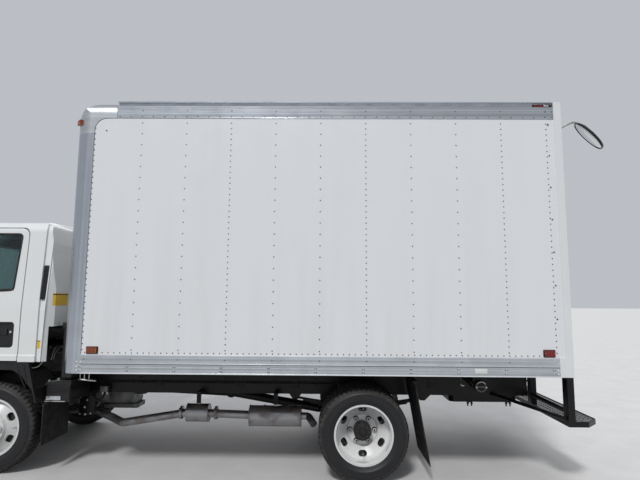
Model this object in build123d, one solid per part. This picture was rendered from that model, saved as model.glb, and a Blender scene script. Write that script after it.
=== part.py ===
from build123d import *
import math
import os

# Low cab-forward box truck with twin rear wheels and a dry-freight body, in millimetres.
# +X runs to the rear, +Y to the vehicle's right, +Z up. Places along X are counted from the front axle,
# and every piece is moved by ORIGIN_X at the end, so that the origin is on the ground below the middle of
# the whole truck. Heights are counted from the ground, and those of the cab from the top of the rails.
# Left-hand pieces (at -Y) are modelled, and right-hand ones mirror them.

# Wheels
WHEELBASE = 3365
TYRE_R = 400
TYRE_W = 226
TREAD_W = 150
TYRE_CLEARANCE = 0.3
RIM_FLANGE_R = 260.5
RIM_SEAT_R = 248
RIM_WALL = 12
RIM_W = 190
RIM_FLANGE_T = 13.5
DISC_T = 11
DISC_DEPTH = 88
HAND_HOLE_CIRCLE_R = 192
HAND_HOLE_L = 78
HAND_HOLE_H = 48
HAND_HOLES = 6
STUD_CIRCLE_R = 111.125
STUDS = 6
STUD_R = 16
HUB_R = 80
DRUM_R = 207
FRONT_TRACK_Y = 850
REAR_OUTER_Y = 975
TWIN_SPACING = 255
DISC_OFFSET = TWIN_SPACING / 2

# Axles, steering and springs
KINGPIN_Y = 740
KINGPIN_R = 20
SPINDLE_R = 30
BEARING_CLEARANCE = 0.5
AXLE_DROP = 100
BEAM_W = 84
BEAM_H = 90
BEAM_WEB_T = 22
BEAM_FLANGE_T = 16
EYE_R = 44
EYE_H = 100
YOKE_GAP = 4
YOKE_T = 30
STEER_ARM_X = 160
STEER_ARM_Y = 50
STEER_ARM_T = 20
TIE_ROD_R = 16
FRONT_SPRING_Y = 380
REAR_SPRING_Y = 385
SPRING_W = 62
SPRING_EYE_R = 26
AXLE_TUBE_R = 60
BANJO_R = 170

# Ladder frame
RAIL_ABOVE_AXLE = 225
RAIL_DEPTH = 180
RAIL_FLANGE = 65
RAIL_T = 7
FRAME_HALF_W = 425
FRAME_FRONT_X = -1035
FRAME_CROSS_W = 60
FRAME_CROSS_H = 110

# Cab tilt hinge: lugs of the cab between ears at the rail ends
TILT_PIN_X = -1093
TILT_PIN_DROP = 105
TILT_PIN_R = 14
TILT_EAR_T = 10
TILT_EAR_R = 34
TILT_LUG_GAP = 5.5

# Engine, radiator, gearbox
ENGINE_FRONT_X = -330
ENGINE_REAR_X = 470
ENGINE_HALF_W = 235
ENGINE_DROP = 155
ENGINE_RISE = 285
RADIATOR_X = -770
RADIATOR_D = 70
RADIATOR_CLEAR = 30
GEARBOX_L = 510
OUTPUT_L = 80
SHAFT_R = 45
CENTRE_BEARING_X = 2000

# Exhaust
EXHAUST_Y = -560
EXHAUST_R = 38
CATALYST_R = 84
CATALYST_L = 210
MUFFLER_R = 95
MUFFLER_L = 497
MUFFLER_GAP = 406
TAIL_TO_TYRE = 171

# Fuel tank between the rails, behind the rear axle, with its filler in the gap between two cross sills
TANK_BEHIND_AXLE = 935
TANK_L = 690
TANK_H = 225
TANK_DROP = 80
TANK_STRAPS = (200, 590)
TANK_CLEAR = 22
FILLER_INSET = 80
FILLER_BEHIND_SILL = 215.1
FILLER_R = 28
FILLER_CAP_R = 42

# Battery box, air intake and mudflaps
BATTERY_X = (445, 686)
BATTERY_H = 169
INTAKE_X = 645
INTAKE_Y = -850
INTAKE_TOP = 540
DUCT_R = 50
FLAP_T = 8
FLAP_H = 346
FLAP_LEAN = 117

# Box body
BOX_FRONT_X = 718
BOX_OVERHANG = 1779
BOX_HALF_W = 1219.2
BOX_H = 2440
LONG_SILL_H = 130
SILL_LIP = 5
CROSS_SILL_H = 76
CROSS_SILL_W = 50
CROSS_SILL_T = 6
FLOOR_T = 35
WALL_T = 39
SHEET_PROUD = 5
POST_PITCH = 406.4
FIRST_POST = 223.7
REAR_FRAME_D = 67
REAR_POST_W = 89
REAR_FOOT = 50
REAR_HEADER_H = 161
BOTTOM_RAIL_H = 164
RAIL_GROOVE = 81
TOP_RAIL_H = 161
COVE_H = 38
COVE_DEPTH = 27
ROOF_LIP_H = 12
CORNER_R = 150
POST_FLANGE = 45
HEADER_R = 290
CAP_H = 304
CAP_L = 394
CAP_SIDE_R = 110
ROOF_CROWN = 14
ROOF_T = 34
DOOR_SLATS = 6
SLAT_T = 24
SLAT_GAP = 6

# Step bumper and backup mirror
STEP_TOP = 563
STEP_T = 39
STEP_REACH = 219
STEP_CHAMFER = 120
STEP_TUBE_R = 24
STEP_BRACE_R = 16
MIRROR_R = 165
MIRROR_REACH = 401

# Lamps
LAMP_L = 90
LAMP_H = 50
LAMP_T = 22
TAIL_LAMP_R = 52

# Cab, with heights from the top of the rails
CAB_HALF_W = 1020
CAB_FRONT_X = -1183
CAB_REAR_X = 552
CAB_BOTTOM = -165
CAB_WALL = 45
CAB_BELT = 525
CAB_ROOF = 1529
CAB_NOSE_R = 230
CAB_NOSE_BOW = 55
CAB_REAR_CHAMFER = 80
CAB_RECESS = 18
CAB_PANEL_REAR_X = 400
WINDSHIELD_LEAN = 243
WINDSHIELD_TOP = 1375
ARCH_TOP = 193
BACK_BOTTOM = 507
LEDGE_H = 66
LEDGE_T = 7
DOOR_T = 70
DOOR_SKIN = 25
DOOR_GAP = 9
DOOR_STEP = 15
DOOR_FRONT_X = -893
DOOR_REAR_X = 247
DOOR_TOP = 1425
GLASS_T = 6
GLASS_INSET = 10
FLOOR_PAN_T = 40
FOOTWELL = 115
SEAT_BASE = 385
CAB_STEP_H = 185
LINER_ARCH = ((-462, -150), (-420, -20), (-330, 85), (-200, 128),
              (200, 128), (290, 80), (400, -55), (437, -165))
LINER_T = 8
LINER_IN_Y = 600
WHEEL_PLACE = (-735, -530, 600)
WHEEL_TILT = 32
WHEEL_R = 215
COLUMN_R = 24

# Front bumper
BUMPER_FRONT_X = -1217
BUMPER_DROP = 185
BUMPER_H = 290
BUMPER_WALL = 30
BUMPER_HALF_W = 1030
BUMPER_RETURN = 300

# Side mirrors
SIDE_MIRROR_Y = 1330
MIRROR_ARM_R = 11

# Worked out from the sizes above
AXLE_Z = TYRE_R
FRAME_BOTTOM = AXLE_Z + RAIL_ABOVE_AXLE
FRAME_TOP = FRAME_BOTTOM + RAIL_DEPTH
BOX_REAR_X = WHEELBASE + BOX_OVERHANG
REAR_FRAME_X = BOX_REAR_X - REAR_FRAME_D
FRAME_REAR_X = REAR_FRAME_X - 20
CROSS_SILL_Z = FRAME_TOP + LONG_SILL_H
BOX_BOTTOM = CROSS_SILL_Z - SILL_LIP
BOX_TOP = BOX_BOTTOM + BOX_H
FLOOR_Z = CROSS_SILL_Z + CROSS_SILL_H
DECK_TOP = FLOOR_Z + FLOOR_T
BOTTOM_RAIL_TOP = BOX_BOTTOM + BOTTOM_RAIL_H
TOP_RAIL_BOTTOM = BOX_TOP - TOP_RAIL_H
COVE_BOTTOM = BOX_TOP - ROOF_LIP_H - COVE_H
CAP_BOTTOM = BOX_TOP - CAP_H
CAP_REAR_X = BOX_FRONT_X + CAP_L
HEADER_Z = BOX_TOP - HEADER_R
SKIN_Y = BOX_HALF_W - SHEET_PROUD
WALL_IN_Y = SKIN_Y - WALL_T
CORNER_X = BOX_FRONT_X + CORNER_R
CORNER_Y = BOX_HALF_W - CORNER_R
CORNER_IN_R = CORNER_R - SHEET_PROUD - WALL_T
FLANGE_X = CORNER_X + POST_FLANGE
FRONT_WALL_X = BOX_FRONT_X + SHEET_PROUD
FRONT_WALL_IN_X = FRONT_WALL_X + WALL_T
STEP_REAR_X = BOX_REAR_X + STEP_REACH
MIRROR_REAR_X = BOX_REAR_X + MIRROR_REACH
TANK_X = WHEELBASE + TANK_BEHIND_AXLE
FIRST_POST_X = BOX_FRONT_X + FIRST_POST
FILLER_BAY = math.ceil((TANK_X + FILLER_INSET - FIRST_POST_X - FILLER_BEHIND_SILL) / POST_PITCH)
FILLER_X = FIRST_POST_X + FILLER_BAY * POST_PITCH + FILLER_BEHIND_SILL
GEARBOX_REAR_X = ENGINE_REAR_X + GEARBOX_L
OUTPUT_X = GEARBOX_REAR_X + OUTPUT_L
REAR_TYRE_FRONT_X = WHEELBASE - TYRE_R
MUFFLER_REAR_X = REAR_TYRE_FRONT_X - TAIL_TO_TYRE
MUFFLER_X = MUFFLER_REAR_X - MUFFLER_L
CATALYST_X = MUFFLER_X - MUFFLER_GAP - CATALYST_L
RAIL_IN_Y = FRAME_HALF_W - RAIL_T
RAIL_LIP_Y = FRAME_HALF_W - RAIL_FLANGE
RADIATOR_HALF_W = RAIL_LIP_Y - RADIATOR_CLEAR
BUMPER_TOP = FRAME_TOP - BUMPER_DROP
BUMPER_BOTTOM = BUMPER_TOP - BUMPER_H
TILT_PIN_Z = FRAME_TOP - TILT_PIN_DROP
ORIGIN_X = -(BUMPER_FRONT_X + MIRROR_REAR_X) / 2


def block(x0, x1, y0, y1, z0, z1):
    """A box between two corners, given in any order."""
    middle = Pos((x0 + x1) / 2, (y0 + y1) / 2, (z0 + z1) / 2)
    return middle * Box(abs(x1 - x0), abs(y1 - y0), abs(z1 - z0))


def outline(points, radius=0, radii=None):
    """A closed polygon face with all its corners rounded, or only those that radii maps by index."""
    face = make_face(Polyline(*points, close=True))
    if radius:
        face = fillet(face.vertices(), radius)
    for index, corner_radius in (radii or {}).items():
        target = Vector(*points[index])
        near = min(face.vertices(), key=lambda v: (Vector(*v) - target).length)
        face = fillet(near, corner_radius)
    return face


def prism_xz(face, y0, y1):
    """A face drawn in X and Z, made solid from y0 to y1."""
    return extrude(Plane((0, y1, 0), x_dir=(1, 0, 0), z_dir=(0, -1, 0)) * face, y1 - y0)


def prism_yz(face, x0, x1):
    """A face drawn in Y and Z, made solid from x0 to x1."""
    return extrude(Plane((x0, 0, 0), x_dir=(0, 1, 0), z_dir=(1, 0, 0)) * face, x1 - x0)


def prism_xy(face, z0, z1):
    """A face drawn in X and Y, made solid from z0 to z1."""
    return extrude(Plane((0, 0, z0), x_dir=(1, 0, 0), z_dir=(0, 0, 1)) * face, z1 - z0)


def rod(start, end, radius):
    """A round bar from one point to another."""
    along = Vector(*end) - Vector(*start)
    return extrude(Plane(start, z_dir=along) * Circle(radius), along.length)


def bar_y(x, z, y0, y1, radius):
    """A round bar along Y."""
    return Pos(x, (y0 + y1) / 2, z) * Rot(90, 0, 0) * Cylinder(radius, abs(y1 - y0))


def pipe(points, radius, bend):
    """A round bar along straight runs joined by bends."""
    path = FilletPolyline(*points, radius=bend)
    return sweep(Plane(path @ 0, z_dir=path % 0) * Circle(radius), path)


def turned(points):
    """A solid turned about the Y axis from a profile of (place along Y, radius)."""
    return revolve(Plane.YZ * make_face(Polyline(*points, close=True)), Axis.Y)


def mirrored(solid):
    return mirror(solid, Plane.XZ)


def both_sides(solid):
    """A left-hand piece and its right-hand twin, as one node of separate solids."""
    return Compound(children=[*solid.solids(), *mirrored(solid).solids()])


def together(*pieces):
    """Pieces that share a node without touching."""
    return Compound(children=[s for piece in pieces for s in piece.solids()])


def save(name, shape):
    """Writes one node, moved so that the origin is below the middle of the truck."""
    solids = [Pos(ORIGIN_X, 0, 0) * s for s in shape.solids()]
    whole = solids[0] if len(solids) == 1 else Compound(children=solids)
    export_step(whole, f"parts/{name}.step")


# Ladder frame: two channel rails, the channels between them, and the ears of the cab's tilt hinge

def cross_places():
    """Front faces of the crossmembers, from the front of the frame to its rear."""
    return (FRAME_FRONT_X + 55, -560, OUTPUT_X + 60, CENTRE_BEARING_X - 30, WHEELBASE - 485,
            WHEELBASE + 435, FRAME_REAR_X - FRAME_CROSS_W)


def tilt_ears():
    """Two plates on each rail end, with the pin between them that the cab turns on."""
    end, rear, round_r = TILT_PIN_X - TILT_EAR_R, FRAME_FRONT_X + 90, TILT_EAR_R - 2
    plate = outline([(rear, FRAME_BOTTOM), (rear, FRAME_TOP), (FRAME_FRONT_X, FRAME_TOP),
                     (end, TILT_PIN_Z + TILT_EAR_R), (end, TILT_PIN_Z - TILT_EAR_R),
                     (FRAME_FRONT_X, FRAME_BOTTOM)],
                    radii={3: round_r, 4: round_r})
    ears = prism_xz(plate, -FRAME_HALF_W - TILT_EAR_T, -FRAME_HALF_W)
    ears += prism_xz(plate, -RAIL_LIP_Y, -RAIL_LIP_Y + TILT_EAR_T)
    pin_low, pin_high = -FRAME_HALF_W - TILT_EAR_T, -RAIL_LIP_Y + TILT_EAR_T
    return ears + bar_y(TILT_PIN_X, TILT_PIN_Z, pin_low, pin_high, TILT_PIN_R)


def ladder_frame():
    rail = block(FRAME_FRONT_X, FRAME_REAR_X, -FRAME_HALF_W, -RAIL_LIP_Y, FRAME_BOTTOM, FRAME_TOP)
    rail -= block(FRAME_FRONT_X, FRAME_REAR_X, -RAIL_IN_Y, -RAIL_LIP_Y,
                  FRAME_BOTTOM + RAIL_T, FRAME_TOP - RAIL_T)
    rail += tilt_ears()
    frame = rail + mirrored(rail)
    top = FRAME_TOP - RAIL_T
    low = top - FRAME_CROSS_H
    for x in cross_places():
        beam = block(x, x + FRAME_CROSS_W, -RAIL_IN_Y, RAIL_IN_Y, low, top)
        frame += beam - block(x + RAIL_T, x + FRAME_CROSS_W, -RAIL_IN_Y, RAIL_IN_Y,
                              low + RAIL_T, top - RAIL_T)
    return frame


# Front bumper: a rounded skin ahead of the cab, with a lower air slot and two lamp recesses, on two arms

def nose_face(front_x, half_w, rear_x, inset=0, chamfer=0):
    """A plan outline with a bowed nose that runs into round front corners, moved inwards by inset."""
    nose_r = (CAB_HALF_W ** 2 + CAB_NOSE_BOW ** 2) / (2 * CAB_NOSE_BOW)
    centre_x = front_x + nose_r
    corner_y = half_w - CAB_NOSE_R
    corner_x = centre_x - math.sqrt((nose_r - CAB_NOSE_R) ** 2 - corner_y ** 2)
    turn = math.atan2(corner_y, centre_x - corner_x)
    nose_r, corner_r, side_y, rear_x = nose_r - inset, CAB_NOSE_R - inset, half_w - inset, rear_x - inset

    def on_corner(angle, side):
        return corner_x - corner_r * math.cos(angle), side * (corner_y + corner_r * math.sin(angle))

    middle = (turn + math.pi / 2) / 2
    arcs = [ThreePointArc(on_corner(turn, -1), (front_x + inset, 0), on_corner(turn, 1))]
    for side in (-1, 1):
        arcs.append(ThreePointArc(on_corner(turn, side), on_corner(middle, side),
                                  on_corner(math.pi / 2, side)))
    back = [(corner_x, side_y), (rear_x - chamfer, side_y), (rear_x, side_y - chamfer),
            (rear_x, chamfer - side_y), (rear_x - chamfer, -side_y), (corner_x, -side_y)]
    if not chamfer:
        back = [back[0], back[2], back[3], back[5]]
    return make_face([*arcs, Polyline(*back)])


def front_bumper():
    rear_x = BUMPER_FRONT_X + BUMPER_RETURN
    outer = nose_face(BUMPER_FRONT_X, BUMPER_HALF_W, rear_x)
    inner = nose_face(BUMPER_FRONT_X, BUMPER_HALF_W, rear_x + BUMPER_WALL + 10, BUMPER_WALL)
    skin = prism_xy(outer, BUMPER_BOTTOM, BUMPER_TOP) - prism_xy(inner, BUMPER_BOTTOM - 10, BUMPER_TOP + 10)
    slot_low, slot_high, slot_half = BUMPER_BOTTOM + 60, BUMPER_BOTTOM + 190, 420
    slot = outline([(-slot_half, slot_low), (slot_half, slot_low), (slot_half + 40, slot_high),
                    (-slot_half - 40, slot_high)], 20)
    skin -= prism_yz(slot, BUMPER_FRONT_X - 100, BUMPER_FRONT_X + 120)
    for z in (slot_low + 40, slot_low + 85):
        skin += block(BUMPER_FRONT_X + 12, BUMPER_FRONT_X + BUMPER_WALL,
                      -slot_half - 50, slot_half + 50, z, z + 12)
    arm_low, arm_high = BUMPER_TOP - 105, BUMPER_TOP - 45
    for side in (-1, 1):
        skin -= Pos(BUMPER_FRONT_X, side * 690, BUMPER_BOTTOM + 125) * Rot(0, 90, 0) * Cylinder(48, 200)
        y0, y1 = side * (RAIL_LIP_Y + TILT_EAR_T), side * RAIL_IN_Y
        skin += block(BUMPER_FRONT_X + BUMPER_WALL - 8, FRAME_FRONT_X + 60, y0, y1, arm_low, arm_high)
        skin += block(FRAME_FRONT_X + 20, FRAME_FRONT_X + 60, y0, y1, arm_high, FRAME_BOTTOM)
    return skin


# Front axle: a dropped I-beam with an eye for each kingpin and a pad for each spring

def beam_outline(trim, eye_reach):
    """Half of the beam seen from the front, made thinner by trim above and below."""
    low, high = AXLE_Z - AXLE_DROP - BEAM_H / 2 + trim, AXLE_Z - AXLE_DROP + BEAM_H / 2 - trim
    end_low, end_high = AXLE_Z - BEAM_H / 2 + trim, AXLE_Z + BEAM_H / 2 - trim
    return outline([(0, low), (420, low), (600, end_low), (eye_reach, end_low), (eye_reach, end_high),
                    (580, end_high), (400, high), (0, high)], radii={1: 60, 2: 60, 5: 60, 6: 60})


def front_axle():
    beam = prism_yz(beam_outline(0, KINGPIN_Y), -BEAM_W / 2, BEAM_W / 2)
    pocket = beam_outline(BEAM_FLANGE_T, KINGPIN_Y - 2 * EYE_R)
    beam -= prism_yz(pocket, -BEAM_W, -BEAM_WEB_T / 2)
    beam -= prism_yz(pocket, BEAM_WEB_T / 2, BEAM_W)
    beam += Pos(0, KINGPIN_Y, AXLE_Z) * Cylinder(EYE_R, EYE_H)
    beam -= Pos(0, KINGPIN_Y, AXLE_Z) * Cylinder(KINGPIN_R + BEARING_CLEARANCE, EYE_H + 20)
    pad_low = AXLE_Z - AXLE_DROP + BEAM_H / 2
    beam += block(-70, 70, FRONT_SPRING_Y - 35, FRONT_SPRING_Y + 35, pad_low, front_spring_seat())
    return mirrored(beam) + beam


# Leaf springs: packs of arched leaves on both axles, with their hangers, shackles and clamps

def front_spring_seat():
    return AXLE_Z - AXLE_DROP + BEAM_H / 2 + 30


def rear_spring_seat():
    return AXLE_Z + AXLE_TUBE_R + 2


def spring_set(axle_x, seat_z, half_len, rise, leaves, leaf_t, spring_y):
    """An arched pack with its eyes, the hangers that hold them to the rail, and its clamp plates."""
    y0, y1 = -spring_y - SPRING_W / 2, -spring_y + SPRING_W / 2
    arch_r = (half_len ** 2 + rise ** 2) / (2 * rise)
    pack = block(axle_x - 60, axle_x + 60, y0, y1, seat_z, seat_z + leaf_t + 2)
    for n in range(leaves):
        reach = half_len * (1 - 0.72 * n / leaves)
        level = seat_z + (leaves - n) * leaf_t
        ring = Pos(axle_x, level + arch_r) * (Circle(arch_r + leaf_t) - Circle(arch_r))
        pack += prism_xz(ring & Pos(axle_x, level) * Rectangle(2 * reach, 2 * rise + 80), y0, y1)
    top = seat_z + leaves * leaf_t
    pack += block(axle_x - 60, axle_x + 60, y0, y1, top - 2, top + 22)
    eye_z = seat_z + leaves * leaf_t + rise
    for end, ahead, behind in ((-1, 60, 60), (1, 40, 80)):
        eye_x = axle_x + end * half_len
        pack += bar_y(eye_x, eye_z, y0 - 8, y1 + 8, SPRING_EYE_R)
        cheek = outline([(eye_x - ahead, FRAME_BOTTOM), (eye_x + behind, FRAME_BOTTOM),
                         (eye_x + 24, eye_z - 24), (eye_x - 24, eye_z - 24)])
        pack += prism_xz(cheek, y0 - 8, y0)
        pack += prism_xz(cheek, y1, y1 + 8)
    return pack


def leaf_springs():
    front = spring_set(0, front_spring_seat(), 600, 80, 4, 13, FRONT_SPRING_Y)
    rear = spring_set(WHEELBASE, rear_spring_seat(), 640, 62, 6, 12, REAR_SPRING_Y)
    return together(both_sides(front), both_sides(rear))


# Rear axle: banjo housing, tubes and backing plates, with a stub for each pair of twin wheels

def rear_axle():
    stub_end = REAR_OUTER_Y - TWIN_SPACING / 2 + 20
    tube_end = stub_end - 247
    half = [(0, AXLE_TUBE_R), (290, AXLE_TUBE_R), (tube_end, AXLE_TUBE_R - 4), (tube_end, SPINDLE_R),
            (stub_end, SPINDLE_R), (stub_end, 0)]
    axle = turned([(-y, r) for y, r in reversed(half)] + half[1:])
    housing = Rot(90, 0, 0) * Cylinder(BANJO_R, 170)
    axle += fillet(housing.edges().filter_by(GeomType.CIRCLE), 45)
    nose = make_face(Polyline((-120, 0), (-120, 95), (-330, 62), (-360, 62), (-360, 0), close=True))
    axle += revolve(nose, Axis.X)
    for side in (-1, 1):
        axle += Pos(0, side * REAR_SPRING_Y, 0) * Box(120, SPRING_W + 12, 2 * AXLE_TUBE_R + 4)
        axle += bar_y(0, 0, side * (tube_end - 6), side * (tube_end + 6), 175)
    return Pos(WHEELBASE, 0, AXLE_Z) * axle


# Engine, radiator, gearbox and driveshaft, each on the rails or on what carries it

def engine_block():
    low, high = FRAME_BOTTOM - ENGINE_DROP, FRAME_TOP + ENGINE_RISE
    face = outline([(ENGINE_FRONT_X, low), (ENGINE_REAR_X - 40, low), (ENGINE_REAR_X, low + 170),
                    (ENGINE_REAR_X, high), (ENGINE_FRONT_X, high)], 25)
    engine = prism_xz(face, -ENGINE_HALF_W, ENGINE_HALF_W)
    seat = FRAME_BOTTOM + RAIL_T
    return engine + block(-40, 40, -RAIL_IN_Y, RAIL_IN_Y, seat, seat + 30)


def radiator():
    low, high = FRAME_BOTTOM - 145, FRAME_TOP + 55
    x0, x1 = RADIATOR_X, RADIATOR_X + RADIATOR_D
    piece = block(x0 + 10, x1 - 10, -RADIATOR_HALF_W + 30, RADIATOR_HALF_W - 30, low + 20, high - 20)
    seat = FRAME_BOTTOM + RAIL_T
    piece += block(x0 + 20, x1 - 20, -RAIL_IN_Y, RAIL_IN_Y, seat, seat + 18)
    for side in (-1, 1):
        piece += block(x0, x1, side * (RADIATOR_HALF_W - 30), side * RADIATOR_HALF_W, low, high)
    return piece


def gearbox():
    """Bell housing, case and output, with the pan below and the cross bar that carries it on the rails."""
    bell_z, case_z = FRAME_BOTTOM + 15, FRAME_BOTTOM - 35
    bell_end = ENGINE_REAR_X + 250
    bell_plane = Plane((ENGINE_REAR_X, 0, bell_z), x_dir=(0, 1, 0), z_dir=(1, 0, 0))
    case_plane = Plane((bell_end, 0, case_z), x_dir=(0, 1, 0), z_dir=(1, 0, 0))
    case = loft([bell_plane * RectangleRounded(400, 320, 60), case_plane * RectangleRounded(280, 300, 60)],
                ruled=True)
    case += prism_yz(Pos(0, case_z) * RectangleRounded(280, 300, 60), bell_end, GEARBOX_REAR_X)
    case += rod((GEARBOX_REAR_X, 0, FRAME_BOTTOM - 25), (OUTPUT_X, 0, FRAME_BOTTOM - 25), 70)
    pan_x = (ENGINE_REAR_X + GEARBOX_REAR_X) / 2 + 110
    case += prism_xy(Pos(pan_x, 0) * RectangleRounded(370, 240, 30), case_z - 185, case_z - 145)
    seat = FRAME_BOTTOM + RAIL_T
    return case + block(GEARBOX_REAR_X - 60, GEARBOX_REAR_X - 20, -RAIL_IN_Y, RAIL_IN_Y, seat, seat + 18)


def driveshaft():
    """Two shafts with a joint at each end, and the centre bearing below its crossmember."""
    start_z, middle_z, end_x = FRAME_BOTTOM - 25, FRAME_BOTTOM - 65, WHEELBASE - 360
    start, middle, end = (OUTPUT_X + 50, 0, start_z), (CENTRE_BEARING_X, 0, middle_z), (end_x - 50, 0, AXLE_Z)
    shaft = rod(start, middle, SHAFT_R) + rod(middle, end, SHAFT_R)
    for x, z, out in ((OUTPUT_X, start_z, 1), (end_x, AXLE_Z, -1)):
        shaft += rod((x, 0, z), (x + out * 14, 0, z), 62)
        shaft += rod((x + out * 14, 0, z), (x + out * 52, 0, z), 38)
        shaft += Pos(x + out * 50, 0, z) * Sphere(46)
    shaft += Pos(*middle) * Sphere(62)
    top = FRAME_TOP - RAIL_T - FRAME_CROSS_H
    return shaft + block(CENTRE_BEARING_X - 25, CENTRE_BEARING_X + 25, -75, 75, middle_z, top)


# Exhaust along the left side, with hangers on the rail

def exhaust():
    low = FRAME_BOTTOM - ENGINE_DROP
    muffler_y, muffler_z = EXHAUST_Y - 40, FRAME_BOTTOM - 173
    up_x, cat_z = OUTPUT_X - 15, FRAME_BOTTOM - 159
    run = pipe([(300, -180, low), (300, -180, low - 72), (620, -200, low - 72),
                (up_x - 145, EXHAUST_Y + 110, low - 85),
                (up_x, EXHAUST_Y, low - 107), (CATALYST_X, EXHAUST_Y, cat_z),
                (MUFFLER_X + 3, muffler_y + 10, muffler_z + 3)], EXHAUST_R, 60)
    catalyst = rod((CATALYST_X, EXHAUST_Y, cat_z), (CATALYST_X + CATALYST_L, EXHAUST_Y, cat_z), CATALYST_R)
    muffler = rod((MUFFLER_X, muffler_y, muffler_z), (MUFFLER_REAR_X, muffler_y, muffler_z), MUFFLER_R)
    tail = pipe([(MUFFLER_REAR_X - 34, muffler_y, muffler_z), (MUFFLER_REAR_X + 71, muffler_y, muffler_z),
                 (MUFFLER_REAR_X + 126, muffler_y - 100, muffler_z - 52)], EXHAUST_R - 4, 40)
    whole = run + catalyst + muffler + tail
    for x, y in ((CATALYST_X + CATALYST_L / 2, EXHAUST_Y), (MUFFLER_X + MUFFLER_L / 2, muffler_y)):
        whole += block(x - 20, x + 20, y - 12, -FRAME_HALF_W, FRAME_BOTTOM + 15, FRAME_BOTTOM + 40)
        whole += block(x - 20, x + 20, y - 12, y + 12, muffler_z + 50, FRAME_BOTTOM + 40)
    return whole


# Fuel tank with its straps and filler, battery box, air intake

def fuel_tank():
    half, rear_x = RAIL_LIP_Y - TANK_CLEAR, TANK_X + TANK_L
    low = FRAME_BOTTOM - TANK_DROP
    high = low + TANK_H
    tank = prism_xy(Pos((TANK_X + rear_x) / 2, 0) * RectangleRounded(TANK_L, 2 * half, 60), low, high)
    for x in (TANK_X + reach for reach in TANK_STRAPS):
        tank += block(x - 20, x + 20, -half - 4, half + 4, low - 4, high)
        tank += block(x - 20, x + 20, -RAIL_IN_Y, RAIL_IN_Y, high, high + 12)
    neck_y = half - 40
    neck_z = FRAME_TOP + 43
    tank += pipe([(FILLER_X, -neck_y, high - 30), (FILLER_X, -neck_y, neck_z),
                  (FILLER_X, -SKIN_Y + 214, neck_z - 30)], FILLER_R, 45)
    tank += bar_y(FILLER_X, neck_z - 30, -SKIN_Y + 229, -SKIN_Y + 179, FILLER_CAP_R)
    plate = outline([(FILLER_X - 60, neck_z - 85), (FILLER_X + 60, neck_z - 85), (FILLER_X + 60, FLOOR_Z),
                     (FILLER_X - 60, FLOOR_Z)])
    return tank + prism_xz(plate, -SKIN_Y + 224, -SKIN_Y + 232)


def battery_box():
    """A tray on the rail with the box on it, and a lid whose front half slopes down."""
    x0, x1 = BATTERY_X
    y0, y1 = -FRAME_HALF_W - 475, -FRAME_HALF_W - 65
    low = FRAME_BOTTOM + 1
    tray = block(x0, x1, y0, -FRAME_HALF_W, low, low + 14)
    middle = Pos((x0 + x1) / 2, (y0 + y1) / 2)
    body = prism_xy(middle * RectangleRounded(x1 - x0 - 16, y1 - y0 - 10, 18), low + 14, low + BATTERY_H - 20)
    for n in range(4):
        z = low + 84 + n * 12
        body += prism_xy(middle * RectangleRounded(x1 - x0 - 10, y1 - y0 - 4, 20), z, z + 5)
    lid = outline([(x0, low + BATTERY_H - 20), (x1, low + BATTERY_H - 20), (x1, low + BATTERY_H + 26),
                   (x1 - 90, low + BATTERY_H + 26), (x0, low + BATTERY_H)], radii={3: 60})
    return tray + body + prism_xz(lid, y0, y1)


def air_intake():
    """A stack behind the cab with a hooded head, on an arm from the rail, and its duct to the engine."""
    low, top = FRAME_TOP + 45, FRAME_TOP + INTAKE_TOP
    place = Pos(INTAKE_X, INTAKE_Y)
    stack = prism_xy(place * RectangleRounded(110, 150, 25), low, top - 45)
    stack += prism_xy(place * RectangleRounded(130, 180, 30), top - 45, top)
    duct_z = low + 60
    stack += pipe([(INTAKE_X, INTAKE_Y + 60, duct_z), (INTAKE_X, -150, duct_z), (ENGINE_REAR_X, -150, duct_z)],
                  DUCT_R, 80)
    x0, x1 = INTAKE_X - 15, INTAKE_X + 15
    stack += block(x0, x1, INTAKE_Y - 20, -RAIL_LIP_Y, low - 20, low)
    return stack + block(x0, x1, -FRAME_HALF_W, -RAIL_LIP_Y, FRAME_TOP, low)


# Mudflaps behind both axles, each on a bracket at its top

def mudflaps():
    outer = REAR_OUTER_Y + TYRE_W / 2 + 2
    inner = REAR_OUTER_Y - TWIN_SPACING - TYRE_W / 2 - 87
    x, top = TYRE_R + 70, FRAME_BOTTOM - 29
    front = block(x, x + FLAP_T, -outer + 130, -inner + 20, top - FLAP_H, top)
    front += block(x - 4, x + 12, -outer + 130, -RAIL_LIP_Y - 35, top, top + 24)
    front += block(x - 4, x + 12, -FRAME_HALF_W, -RAIL_LIP_Y - 35, top + 24, FRAME_BOTTOM)
    x, top = WHEELBASE + TYRE_R + 48, FRAME_TOP + 41
    low = AXLE_Z - 247
    flap = outline([(x, top), (x + FLAP_T, top), (x + FLAP_T + FLAP_LEAN, low), (x + FLAP_LEAN, low)])
    rear = prism_xz(flap, -outer, -inner) + block(x - 13, x + 23, -outer, -FRAME_HALF_W, top, top + 24)
    return together(both_sides(front), both_sides(rear))


# Box subframe: long sills on the rails, and a cross sill below each wall post

def post_places():
    """The wall posts from the front of the box to its rear frame."""
    count = int((REAR_FRAME_X - 60 - FIRST_POST_X) // POST_PITCH) + 1
    return [FIRST_POST_X + n * POST_PITCH for n in range(count)]


def long_sills():
    sill = block(BOX_FRONT_X + 42, REAR_FRAME_X, -FRAME_HALF_W, -FRAME_HALF_W + 60, FRAME_TOP, CROSS_SILL_Z)
    neck = FILLER_R + 17
    sill -= block(FILLER_X - neck, FILLER_X + neck, -FRAME_HALF_W - 1, -FRAME_HALF_W + 61, FRAME_TOP - 1,
                  FRAME_TOP + 43 + neck)
    return both_sides(sill)


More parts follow.
